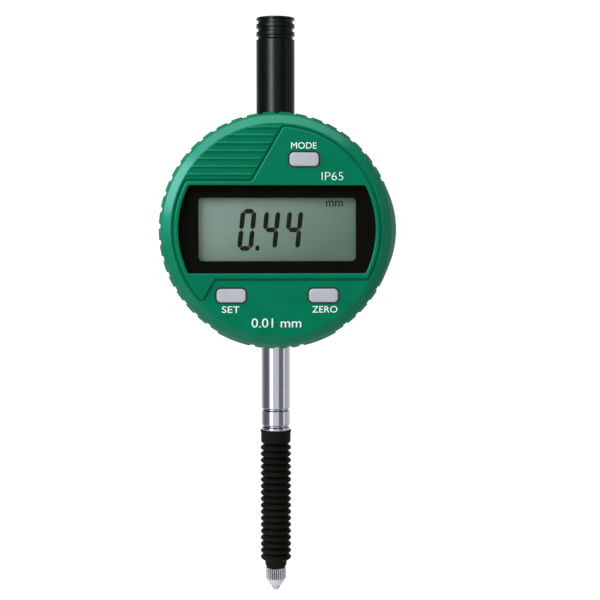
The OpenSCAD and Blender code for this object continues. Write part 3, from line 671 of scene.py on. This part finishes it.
foot = knurl_r - tooth_depth - 0.04
cone_end, socket_r, stud_r = ball_r + 0.12, ball_r + 0.02, 1.25
cone_top = knurl_low - 0.02
full_cone = [tip_ring(foot - (foot - cone_end) * t ** 1.3, cone_top - (cone_top - ball_z - 0.1) * t)
             for t in np.linspace(0, 1, 9)]
socket = [tip_ring(socket_r * math.cos(a), ball_z + socket_r * math.sin(a)) for a in np.radians(np.linspace(4, 90, 8))]
stud = high("contact_point")[2]
knurl_end = [(0.1, 0.1), (0, 0.28), (0, 0.4)]  # how far drawn in, and distance from the knurl's end
upper_end = [tip_ring(knurl_r - drawn, knurl_top - from_end, tooth_depth - drawn) for drawn, from_end in knurl_end]
lower_end = [tip_ring(knurl_r - drawn, knurl_low + from_end, tooth_depth - drawn) for drawn, from_end in knurl_end]
tip_rows = [tip_ring(0, stud), tip_ring(stud_r - 0.1, stud), tip_ring(stud_r, stud - 0.15), tip_ring(stud_r, knurl_top),
            tip_ring(foot, knurl_top), *upper_end, *lower_end[::-1], tip_ring(foot, knurl_low + 0.02)]
piece("contact", sweep(tip_rows + full_cone + socket), "plunger", "knurled_steel", ["contact_point"], sharp=50)
half_turn = np.radians(np.linspace(-90, 90, 33))
ball_profile = np.column_stack([ball_r * np.cos(half_turn), ball_z + ball_r * np.sin(half_turn)])
piece("ball", turned(ball_profile, 64), "plunger", "ball_steel", ["contact_ball"])

# %% [markdown]
# ## The rubber boot
# The boot is moulded rubber: a collar gripping the end ring, 18 soft folds, and a cuff on the plunger.
# When the plunger rises the folds close up like an accordion. The folds are a piece of their own,
# while the collar stays and the cuff rides up with the plunger.

# %% Collar, folds and cuff
boot_low = low("rubber_boot")[2]
folds, fold_pitch, boot_wall = 18, 1.83, 0.55
peak_r = 4.3
valley_r = peak_r - 1.05
folds_top = boot_top - 4.1
folds_low = folds_top - folds * fold_pitch
lathe("boot_collar", [
    (nose_r, boot_top, 0.1), (peak_r + 0.06, boot_top, 0.14), (peak_r - 0.14, boot_top - 0.95, 0.8),
    (peak_r - 0.16, folds_top + 0.75, 0.3), (valley_r + 0.25, folds_top + 0.14, 0.12), (valley_r, folds_top, 0),
    (valley_r - boot_wall, folds_top, 0), (nose_r, boot_top - 3, 0)], 80, "black_rubber", "rubber_boot", cuts=5)

along = np.linspace(0, folds, folds * 12 + 1)
from_peak = np.abs(2 * (along % 1) - 1)
wave = (1 - from_peak ** 1.75) ** 0.85
outside = np.column_stack([valley_r + (peak_r - valley_r) * wave, folds_top - along * fold_pitch])
inside = outside[::-1] - [boot_wall, 0]
boot_folds = piece("boot_folds", turned(np.concatenate([outside, inside]), 72, wrap=True), "case", "black_rubber",
                   ["rubber_boot"], sharp=75)

cuff_r, cuff_bore = plunger_r + 0.72, plunger_r + 0.02
lathe("boot_cuff", [
    (valley_r, folds_low, 0), (cuff_r + 0.1, folds_low - 0.25, 0.2), (cuff_r, boot_low + 0.75, 0.5),
    (cuff_r - 0.35, boot_low, 0.15), (cuff_bore, boot_low, 0.05), (cuff_bore, folds_low - 0.3, 0),
    (valley_r - boot_wall, folds_low, 0)], 80, "black_rubber", "rubber_boot", body="plunger")

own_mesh(boot_folds)

# %% [markdown]
# ## The return spring
# A tension spring between a post on the case and a pin on the carriage keeps the plunger down. Its wire
# is a circle carried along a helix, with a closed loop at each end.

# %% Spring
spring_low, spring_high = low("return_spring"), high("return_spring")
spring_x, spring_y = (spring_low[:2] + spring_high[:2]) / 2
wire_r, coil_r, loop_r = 0.2, 1.9, 1.15
coil_turns, turn_steps, wire_sides = 12, 24, 8


def wire(path):
    """A round wire along a closed or open path (n, 3): in each place a ring in the plane of the wire's
    normal and the side direction."""
    ahead = np.gradient(path, axis=0)
    ahead /= np.linalg.norm(ahead, axis=1)[:, None]
    side = np.cross(ahead, [0.0, 0.0, 1.0])
    side /= np.linalg.norm(side, axis=1)[:, None]
    third = np.cross(ahead, side)
    a = np.linspace(0, 2 * math.pi, wire_sides, endpoint=False)[None, :, None]
    return path[:, None] + wire_r * (np.cos(a) * side[:, None] + np.sin(a) * third[:, None])


coil_low, coil_high = spring_low[2] + 2 * loop_r + wire_r, spring_high[2] - 2 * loop_r - wire_r
turn = np.linspace(0, 2 * math.pi * coil_turns, coil_turns * turn_steps + 1)
wind = np.minimum(1, np.minimum(turn, turn[-1] - turn) / math.pi)  # winds out from the axis and back in
core_r = wire_r + 0.3  # radius where the wire winds in to meet the loops
coil_radius = core_r + (coil_r - wire_r - 0.3) * wind
helix = np.column_stack([spring_x + coil_radius * np.cos(turn), spring_y + coil_radius * np.sin(turn),
                         coil_low + (coil_high - coil_low) * turn / turn[-1]])
coil_rings = wire(helix)
cap_ring = [list(range(wire_sides)), list(range((len(coil_rings) - 1) * wire_sides, len(coil_rings) * wire_sides))]
coil_points, coil_faces = sweep(coil_rings)
spring_parts = [(coil_points, coil_faces + cap_ring)]
around_loop = np.linspace(0, 2 * math.pi, 33)[:-1, None]
around_wire = np.linspace(0, 2 * math.pi, wire_sides, endpoint=False)[None, :]
for end_z in (spring_low[2] + loop_r + wire_r, spring_high[2] - loop_r - wire_r):
    out = loop_r + wire_r * np.cos(around_wire)
    rings = np.stack([spring_x + out * np.cos(around_loop), spring_y + wire_r * np.sin(around_wire) + 0 * around_loop,
                      end_z + out * np.sin(around_loop)], -1)
    spring_parts.append(sweep(rings, wrap=True))
spring = piece("spring_wire", join(*spring_parts), None, "spring_steel", ["return_spring"], sharp=80)
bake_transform(spring)

# %% [markdown]
# ## Softer edges on the carried-over castings
# The rear case, the back cover with its lug, the battery drawer and the screws keep the shapes of the
# CAD model, but a moulding has no knife edges. A copy of each mesh is merged into one skin, flat areas
# are dissolved into single faces, and a Bevel modifier rounds whatever is still sharp.

# %% Rounded copies of CAD parts
FLAT, SHARP = math.radians(0.5), 40  # faces that turn less than FLAT are one; edges over SHARP degrees are rounded


def softened(node, body, slot, width, name, steps=2):
    """A merged copy of a CAD node with its sharp edges rounded by width, in millimetres."""
    mesh = frame["nodes"][node].data.copy()
    mesh.materials.clear()
    work = bmesh.new()
    work.from_mesh(mesh)
    bmesh.ops.remove_doubles(work, verts=work.verts, dist=SAME_POINT * MM)
    bmesh.ops.dissolve_limit(work, angle_limit=FLAT, verts=work.verts, edges=work.edges)
    work.to_mesh(mesh)
    work.free()
    obj = finish_piece(name, mesh, body, slot, [node], SHARP)
    bevel = obj.modifiers.new("Moulded edges", "BEVEL")
    bevel.width, bevel.segments = width * MM, steps
    bevel.limit_method, bevel.angle_limit = "ANGLE", math.radians(SHARP)
    bevel.use_clamp_overlap, bevel.harden_normals = True, False
    obj.modifiers.move(1, 0)
    return obj


softened("rear_case", "case", "green_shell", 0.15, "rear_shell")
softened("back_cover", "case", "cover_green", 0.35, "back_lid")
softened("battery_tray", "battery_drawer", "grey_tray", 0.4, "drawer")
softened("back_screws", "case", "screw_steel", 0.12, "lid_screws")

# %% [markdown]
# ## Finishes
# No surface here is one flat colour. Mouldings carry a fine spark-eroded grain and slow drifts in
# gloss, turned steel has faint rings from the tool, rubber is dull with dust in its pores. These
# effects are shader groups that put out only what varies: a height for bump, and a roughness. Each
# material places them with its own scale. Patterns read Object coordinates, which are metres here.

# %% Shader groups
def new_group(name, inputs, outputs):
    """An empty shader group with float inputs {name: default} and named float outputs."""
    tree = bpy.data.node_groups.new(name, "ShaderNodeTree")
    for title, value in inputs.items():
        tree.interface.new_socket(title, in_out="INPUT", socket_type="NodeSocketFloat").default_value = value
    for title in outputs:
        tree.interface.new_socket(title, in_out="OUTPUT", socket_type="NodeSocketFloat")
    return tree, tree.nodes.new("NodeGroupInput"), tree.nodes.new("NodeGroupOutput")


def add(tree, kind, settings=None, **inputs):
    """A node with some settings; each input is a socket to link or a value to set. Underscores in an
    input's name stand for spaces."""
    node = tree.nodes.new("ShaderNode" + kind)
    for key, value in (settings or {}).items():
        setattr(node, key, value)
    for key, value in inputs.items():
        numbered = key[0] == "n" and key[1:].isdigit()
        socket = node.inputs[int(key[1:]) if numbered else key.replace("_", " ")]
        if isinstance(value, bpy.types.NodeSocket):
            tree.links.new(value, socket)
        else:
            socket.default_value = value
    return node


def calc(tree, operation, *values):
    """Result of a Math node on sockets or numbers."""
    return add(tree, "Math", {"operation": operation}, **{f"n{i}": value for i, value in enumerate(values)}).outputs[0]


def remap(tree, value, start, end, to_start=0.0, to_end=1.0, curve="LINEAR"):
    """Result of a Map Range node: start to end becomes to_start to to_end."""
    return add(tree, "MapRange", {"interpolation_type": curve}, Value=value, From_Min=start, From_Max=end,
               To_Min=to_start, To_Max=to_end).outputs[0]


def by_ray(tree, ray, usual, other, output="Material Output"):
    """The surface is the `other` shader to one kind of ray, and the usual shader to the rest."""
    which = add(tree, "LightPath").outputs[ray]
    both = add(tree, "MixShader", Fac=which, n1=usual.outputs[0], n2=other.outputs[0])
    tree.links.new(both.outputs[0], tree.nodes[output].inputs["Surface"])


def effect_group(name, stretch, noises, defaults):
    """A group on Object coordinates, stretched. noises is the fine noise's detail and roughness. Height
    is that noise; the caller adds Roughness, mapped between Smooth and Rough, and Drift, 0 to 1."""
    inputs = dict(zip(("Scale", "Smooth", "Rough"), defaults))
    tree, inp, out = new_group(name, inputs, ["Height", "Roughness", "Drift"])
    place = add(tree, "TexCoord").outputs["Object"]
    if stretch:
        place = add(tree, "Mapping", {"vector_type": "POINT"}, Vector=place, Scale=stretch).outputs[0]
    fine = add(tree, "TexNoise", Vector=place, Scale=inp.outputs["Scale"], Detail=noises[0], Roughness=noises[1])
    tree.links.new(fine.outputs["Fac"], out.inputs["Height"])
    return tree, inp.outputs, out.inputs, place


def moulded_grain():
    """Height: fine noise of size 1/Scale metres. Roughness: two slower noises. Drift: the slowest."""
    tree, inp, out, place = effect_group("Moulded grain", None, (2.0, 0.55), (5000.0, 0.35, 0.5))
    slow = add(tree, "TexNoise", Vector=place, Scale=160.0, Detail=3.0, Roughness=0.6).outputs["Fac"]
    marks = add(tree, "TexNoise", Vector=place, Scale=900.0, Detail=4.0, Roughness=0.65).outputs["Fac"]
    both = calc(tree, "MULTIPLY_ADD", marks, 0.5, slow)
    tree.links.new(remap(tree, both, 0.45, 1.05, inp["Smooth"], inp["Rough"]), out["Roughness"])
    tree.links.new(remap(tree, slow, 0.3, 0.7), out["Drift"])
    return tree


def turned_lines():
    """Height: noise stretched into rings about Z, Scale lines a metre up the axis. Roughness and Drift:
    the same rings, coarser, so highlights break into fine bands."""
    tree, inp, out, place = effect_group("Turned lines", (0.02, 0.02, 1.0), (3.0, 0.6), (9000.0, 0.1, 0.2))
    coarse = add(tree, "TexNoise", Vector=place, Scale=1200.0, Detail=4.0, Roughness=0.7).outputs["Fac"]
    tree.links.new(remap(tree, coarse, 0.3, 0.7, inp["Smooth"], inp["Rough"]), out["Roughness"])
    tree.links.new(remap(tree, coarse, 0.3, 0.7), out["Drift"])
    return tree


GRAIN, LINES = moulded_grain(), turned_lines()

# %% A finish from a group and a few constants
finishes = {}


def srgb(*levels):
    """Linear colour from 8-bit display levels: the display curve undone."""
    c = np.array(levels) / 255
    return tuple(np.where(c <= 0.04045, c / 12.92, ((c + 0.055) / 1.055) ** 2.4))


def mix_colours(tree, factor, *colours):
    """Result of a Mix node between two colours, each a socket or 8-bit display levels."""
    first, second = (c if isinstance(c, bpy.types.NodeSocket) else (*srgb(*c), 1) for c in colours)
    return add(tree, "Mix", {"data_type": "RGBA"}, Factor=factor, n6=first, n7=second).outputs[2]


def finish(name, first, second, group=None, scale=5000.0, gloss=(0.35, 0.5), bump=0.15, depth=0.02, **shader):
    """A material: its colour drifts between two display colours, its roughness and bump come from the
    group, and constants such as Metallic are set on the Principled shader itself."""
    material = bpy.data.materials.new(name)
    material.use_nodes = True
    tree = material.node_tree
    principled = tree.nodes["Principled BSDF"]
    effect = tree.nodes.new("ShaderNodeGroup")
    effect.node_tree = group or GRAIN
    effect.inputs["Scale"].default_value = scale
    effect.inputs["Smooth"].default_value, effect.inputs["Rough"].default_value = gloss
    bumps = add(tree, "Bump", Height=effect.outputs["Height"], Strength=bump, Distance=depth * MM)
    tree.links.new(mix_colours(tree, effect.outputs["Drift"], first, second), principled.inputs["Base Color"])
    tree.links.new(effect.outputs["Roughness"], principled.inputs["Roughness"])
    tree.links.new(bumps.outputs[0], principled.inputs["Normal"])
    for key, value in shader.items():
        principled.inputs[key.replace("_", " ")].default_value = value
    finishes[name] = material
    return material


# %% [markdown]
# The green is a satin nylon: even, a little deeper where the grain is smooth. The keys, drawer and
# border are plainer plastics. The boot is dull black; the seals have a faint sheen at grazing angles.

# %% Plastics and rubber
GREEN_GLINT = (0.1, 0.85, 1.0, 1.0)  # tint of the green's reflections, which keeps it saturated
finish("green_shell", (0, 103, 65), (0, 111, 72), scale=5200.0, gloss=(0.4, 0.5), bump=0.22, Specular_IOR_Level=0.35,
       Specular_Tint=GREEN_GLINT, Coat_Roughness=0.2)
finish("cover_green", (0, 106, 76), (0, 116, 84), scale=3800.0, gloss=(0.42, 0.56), bump=0.35, depth=0.03,
       Specular_IOR_Level=0.35, Specular_Tint=GREEN_GLINT)
finish("grey_key", (171, 173, 181), (178, 180, 187), scale=6500.0, gloss=(0.42, 0.52), depth=0.015,
       Specular_IOR_Level=0.4)
finish("grey_tray", (158, 157, 154), (172, 171, 168), scale=4200.0, gloss=(0.4, 0.55), bump=0.25)
finish("black_print", (30, 30, 24), (34, 34, 28), scale=7000.0, gloss=(0.5, 0.6), bump=0.01, depth=0.002,
       Specular_IOR_Level=0.05)
finish("white_ink", (232, 238, 236), (246, 249, 248), scale=9000.0, gloss=(0.45, 0.6), bump=0.2, depth=0.01)
finish("ivory_plastic", (205, 203, 192), (216, 214, 204), scale=4500.0, gloss=(0.4, 0.55), bump=0.2)
finish("chip_black", (28, 28, 30), (40, 40, 42), scale=8000.0, gloss=(0.5, 0.65), bump=0.3)
finish("black_rubber", (14, 15, 11), (21, 22, 17), scale=6000.0, gloss=(0.5, 0.62), bump=0.2, Specular_IOR_Level=0.08)
finish("seal_rubber", (22, 22, 22), (32, 32, 31), scale=7000.0, gloss=(0.5, 0.65), bump=0.2, Sheen_Weight=0.1)

# %% Polish on the green's slopes
# Coat weight: how far the surface slopes away from the front, full on the bevel and on rounded edges,
# 0 on the flat face and on the rim's side.
FULL_POLISH = 0.2
tree = finishes["green_shell"].node_tree
facing = add(tree, "SeparateXYZ", Vector=add(tree, "TexCoord").outputs["Normal"]).outputs["Y"]
squareness = calc(tree, "ABSOLUTE", facing)
not_flat = remap(tree, squareness, 0.97, 0.88, curve="SMOOTHSTEP")
not_side = remap(tree, squareness, 0.5, 0.75, curve="SMOOTHSTEP")
polish = calc(tree, "MULTIPLY", calc(tree, "MULTIPLY", not_flat, not_side), FULL_POLISH)
tree.links.new(polish, tree.nodes["Principled BSDF"].inputs["Coat Weight"])

# %% [markdown]
# Ground steel is nearly a mirror across the light and slightly blurred along it. The anodised cap is
# black metal oxide with a fine sparkle of grain. Sintered bronze is porous, so its noise is coarse.

# %% Metals
METALS = [
    ("ground_steel", (212, 210, 220), (224, 222, 232), LINES, 14000.0, (0.07, 0.13), 0.06, 0.004),
    ("knurled_steel", (218, 221, 228), (232, 234, 240), LINES, 8000.0, (0.12, 0.2), 0.04, 0.004),
    ("ball_steel", (196, 198, 208), (214, 216, 224), GRAIN, 9000.0, (0.12, 0.2), 0.05, 0.004),
    ("screw_steel", (176, 176, 178), (200, 200, 202), LINES, 6000.0, (0.2, 0.34), 0.12, 0.01),
    ("spring_steel", (150, 150, 154), (180, 180, 184), GRAIN, 8000.0, (0.22, 0.34), 0.1, 0.005),
    ("carriage_metal", (186, 188, 190), (206, 207, 209), LINES, 5000.0, (0.25, 0.4), 0.2, 0.01),
    ("bearing_bronze", (168, 128, 72), (196, 156, 96), GRAIN, 4000.0, (0.35, 0.5), 0.4, 0.02),
    ("cell_steel", (190, 190, 192), (212, 212, 214), GRAIN, 2500.0, (0.2, 0.34), 0.08, 0.01),
]
for metal in METALS:
    finish(*metal, Metallic=1.0)
finish("black_cap", (3, 7, 6), (7, 10, 9), GRAIN, 5200.0, (0.24, 0.34), 0.25, 0.01, Specular_IOR_Level=0.18)


# %% Painted shade in the hollows of turned steel
def paint_shade_in_hollows(slot, top_r, floor_r, colour, near):
    """Painted shade: the base colour gives way to the darker `colour` from the radius floor_r inwards,
    fading out by top_r, where near(tree, height socket) is 1. Radii are in millimetres from the plunger's line."""
    tree = finishes[slot].node_tree
    spot = add(tree, "SeparateXYZ", Vector=add(tree, "TexCoord").outputs["Object"]).outputs
    squares = calc(tree, "MULTIPLY_ADD", spot["Y"], spot["Y"], calc(tree, "MULTIPLY", spot["X"], spot["X"]))
    deep = remap(tree, calc(tree, "SQRT", squares), top_r * MM, floor_r * MM)
    mask = calc(tree, "MULTIPLY", deep, near(tree, spot["Z"]))
    base = tree.nodes["Principled BSDF"].inputs["Base Color"]
    tree.links.new(mix_colours(tree, mask, base.links[0].from_socket, colour), base)


def on_knurl(tree, z):
    """1 above the foot of the knurl."""
    return remap(tree, z, (knurl_low + 0.02) * MM, (knurl_low + 0.2) * MM)


def groove_corners(tree, z):
    """1 in the two corners of each groove, 0 in its middle and outside it."""
    middles = [(groove_top - ring_gap / 2) * MM for groove_top in (stem_low, ring_top - ring_h)]
    away = calc(tree, "MINIMUM", *[calc(tree, "ABSOLUTE", calc(tree, "SUBTRACT", z, middle)) for middle in middles])
    corner = remap(tree, away, 0.08 * MM, 0.22 * MM)
    return calc(tree, "MULTIPLY", corner, remap(tree, away, 0.5 * MM, 0.4 * MM))


# Painted shade in the gaps between the knurl's teeth, in dark blue-grey.
paint_shade_in_hollows("knurled_steel", knurl_r - 0.06, knurl_r - 0.24, (34, 40, 44), on_knurl)
# Painted shade in the corners of the stem's two grooves, in dark brown-grey.
paint_shade_in_hollows("ground_steel", stem_r - 0.05, stem_r - 0.2, (58, 52, 44), groove_corners)

# %% [markdown]
# Three finishes need more than grain. The circuit boards have copper tracks under green lacquer: rows
# of bricks, which read as tracks and pads. The display is grey-green with a fine speckle, and painted
# light makes it lighter towards the upper left, where the soft box is. The pane is clear glass, which
# must not throw a dark shadow on the display, so shadow rays pass straight through it.

# %% Circuit board
tree = finish("circuit_board", (8, 62, 34), (12, 78, 44), scale=4000.0, gloss=(0.3, 0.45), bump=0.1).node_tree
upright = add(tree, "Mapping", Vector=add(tree, "TexCoord").outputs["Object"], Rotation=(math.radians(90), 0, 0))
tracks = add(tree, "TexBrick", {"offset": 0.37}, Vector=upright.outputs[0], Color1=(*srgb(20, 96, 58), 1),
             Color2=(*srgb(14, 84, 48), 1), Mortar=(*srgb(6, 52, 28), 1), Scale=420.0, Mortar_Size=0.035,
             Brick_Width=1.3, Row_Height=0.32)
lacquer = mix_colours(tree, tree.nodes["Group"].outputs["Drift"], tracks.outputs["Color"], (10, 70, 38))
tree.links.new(lacquer, tree.nodes["Principled BSDF"].inputs["Base Color"])

# %% Liquid crystal panel
# Painted light: the panel's colour is lighter towards the upper left and darker towards the lower right.
LIGHT_SLANT, LIGHT_REACH = -1.6, 24  # the tone runs along x + slant * z, over this many millimetres each way
tree = finish("lcd", (134, 154, 142), (128, 148, 136), scale=7000.0, gloss=(0.45, 0.6), bump=0.03, depth=0.004,
              Specular_IOR_Level=0.3).node_tree
place = add(tree, "TexCoord").outputs["Object"]
spot = add(tree, "SeparateXYZ", Vector=place).outputs
slanted = calc(tree, "MULTIPLY_ADD", spot["Z"], LIGHT_SLANT, spot["X"])
middle = LIGHT_SLANT * case_z
across = remap(tree, slanted, (middle - LIGHT_REACH) * MM, (middle + LIGHT_REACH) * MM)
speckle = add(tree, "TexNoise", Vector=place, Scale=2200.0, Detail=3.0, Roughness=0.7).outputs["Fac"]
# Painted light: from the lighter colour at the upper left to the darker one at the lower right.
panel_painted_light = mix_colours(tree, across, (140, 157, 149), (92, 112, 102))
speckled = mix_colours(tree, remap(tree, speckle, 0.3, 0.7, 0.0, 0.1), panel_painted_light, (150, 156, 150))
tree.links.new(speckled, tree.nodes["Principled BSDF"].inputs["Base Color"])

# %% Window glass
tree = finish("clear_window", (250, 253, 251), (244, 250, 247), scale=600.0, gloss=(0.02, 0.05), bump=0.01, depth=0.002,
              Transmission_Weight=1.0, IOR=1.46, Specular_IOR_Level=0.35).node_tree
clear = add(tree, "BsdfTransparent", Color=(0.94, 0.96, 0.95, 1))
by_ray(tree, "Is Shadow Ray", tree.nodes["Principled BSDF"], clear)

# %% Give every piece and every CAD node its finish
for name, slot in made_pieces.items():
    bpy.data.objects[name].data.materials.append(finishes[slot])
for part in frame["record"]["subparts"]:
    for material_slot in frame["nodes"][part["node"]].material_slots:
        material_slot.material = finishes[part["material_slot"]]

# %% [markdown]
# ## The studio
# The instrument hangs in front of white, lit by a large soft box at the upper left. Polished steel
# shows mostly the room, so the room matters: a tall bright band ahead on the left, a mid grey wall
# ahead, dark screens to the sides of it and a narrow light on the right give the stem its stripes.
# The world shader paints those bands by compass direction; the camera itself sees plain white.

# %% World
PAPER = 1.05    # a little over white, so that the background stays white
BRIGHTEST = 2.0
# Angle from straight ahead, in degrees, and brightness. Under SCREEN it is dark blue-grey cloth.
SCREEN = 0.3
ROOM = [(-180, 1.2), (-150, 0.7), (-132, 0.42), (-104, 0.16), (-84, 0.13), (-66, 0.2), (-53, 0.25),
        (-51, 1.9), (-27, 1.9), (-25, 0.72), (0, 0.72), (21, 0.72), (23, 0.2), (59, 0.17), (61, 0.9),
        (73, 0.85), (75, 0.5), (106, 0.52), (137, 0.7), (180, 1.2)]
scene = bpy.context.scene
scene.view_settings.view_transform = "Standard"
world = bpy.data.worlds.new("Studio")
scene.world = world
world.use_nodes = True
tree = world.node_tree
direction = add(tree, "SeparateXYZ", Vector=add(tree, "TexCoord").outputs["Generated"]).outputs
compass = calc(tree, "ARCTAN2", direction["X"], calc(tree, "MULTIPLY", direction["Y"], -1.0))
bands = add(tree, "ValToRGB", Fac=remap(tree, compass, -math.pi, math.pi))
stops = bands.color_ramp.elements
for angle, level in ROOM:
    stop = stops[0] if angle == -180 else stops[-1] if angle == 180 else stops.new((angle + 180) / 360)
    tint = np.array([0.84, 0.97, 1.13]) if level < SCREEN else np.array([1, 1, 1.02])
    stop.color = (*(tint * level / BRIGHTEST), 1)
height = calc(tree, "ABSOLUTE", direction["Z"])
dimmer = remap(tree, height, 0.3, 0.6, BRIGHTEST, 0.5, "SMOOTHSTEP")
# A dark patch ahead, where the camera and its stand would be, keeps the window's black border black.
aside = calc(tree, "ABSOLUTE", compass)
off_side = remap(tree, aside, math.radians(6), math.radians(9), curve="SMOOTHSTEP")
off_level = remap(tree, height, 0.055, 0.08, curve="SMOOTHSTEP")
dimmed = calc(tree, "MULTIPLY", dimmer, calc(tree, "MAXIMUM", off_side, off_level))
room = add(tree, "Background", Color=bands.outputs["Color"], Strength=dimmed)
paper = add(tree, "Background", Color=(1, 1, 1, 1), Strength=PAPER)
by_ray(tree, "Is Camera Ray", room, paper, "World Output")

# %% Lights
centre = Vector((0, 0, case_z * MM))


def soft_box(name, toward, distance, size, power):
    """An area light of (width, height), at a distance in a direction from the case, facing it."""
    lamp = bpy.data.lights.new(name, "AREA")
    lamp.shape, lamp.size, lamp.size_y, lamp.energy = "RECTANGLE", size[0], size[1], power
    obj = bpy.data.objects.new(name, lamp)
    scene.collection.objects.link(obj)
    obj.location = centre + Vector(toward).normalized() * distance
    obj.rotation_euler = Vector(toward).to_track_quat("Z", "Y").to_euler()
    return obj


soft_box("Key soft box", (-0.62, -0.36, 0.70), 0.75, (0.75, 0.75), 9.0).visible_glossy = False
soft_box("Front fill", (0.25, -0.9, 0.45), 1.1, (0.7, 0.5), 1.0)
# Cards seen only in reflections, each by the piece it is for: two for the bevel, one for the cap.
CARDS = [("Left card", (-0.843, -0.36, 0.393), (0.38, 0.38), 7.0, "face_shell"),
         ("Top card", (-0.03, -0.36, 0.93), (1.2, 0.38), 8.0, "face_shell"),
         ("Cap card", (-0.46, -0.88, 0.12), (0.24, 0.6), 6.5, "cap")]
for name, toward, size, power, seen_by in CARDS:
    card = soft_box(name, toward, 0.75, size, power)
    card.visible_diffuse = False
    card.data.color = (0.84, 0.94, 1.0)
    receivers = bpy.data.collections.new(name + " lights")
    receivers.objects.link(bpy.data.objects[seen_by])
    card.light_linking.receiver_collection = receivers

# %% Floor
floor_r, floor_z, floor_sides = 1.0, -0.26, 96
turn = np.linspace(0, 2 * math.pi, floor_sides, endpoint=False)
floor_points = np.column_stack([floor_r * np.cos(turn), floor_r * np.sin(turn), np.full(floor_sides, floor_z)])
floor_mesh = bpy.data.meshes.new("floor")
floor_mesh.from_pydata(floor_points.tolist(), [], [list(range(floor_sides))])
floor = bpy.data.objects.new("floor", floor_mesh)
scene.collection.objects.link(floor)
pale = bpy.data.materials.new("pale floor")
pale.use_nodes = True
tree = pale.node_tree
matt = tree.nodes["Principled BSDF"]
matt.inputs["Base Color"].default_value = (0.85, 0.85, 0.85, 1)
matt.inputs["Roughness"].default_value = 0.9
by_ray(tree, "Is Camera Ray", matt, add(tree, "Emission", Color=(1, 1, 1, 1), Strength=PAPER))
floor_mesh.materials.append(pale)

# %% [markdown]
# ## Camera
# The view is from the front, a little to the left of the plunger's line and level with the case, from
# close enough that the case's side shows its thickness.

# %% Camera
SENSOR, DISTANCE, SEEN = 36, 0.380, 0.1675  # mm; m in front of the plunger's line; m across the picture there
camera_data = bpy.data.cameras.new("camera")
camera = bpy.data.objects.new("camera", camera_data)
scene.collection.objects.link(camera)
camera.location = (-0.0135, -DISTANCE, (case_z + 2.4) * MM)
target = Vector((0.0068, 0, (case_z - 19.6) * MM))
camera.rotation_euler = (target - camera.location).to_track_quat("-Z", "Y").to_euler()
camera_data.sensor_width = SENSOR
camera_data.lens = SENSOR * DISTANCE / SEEN
camera_data.clip_start = 0.01
scene.camera = camera
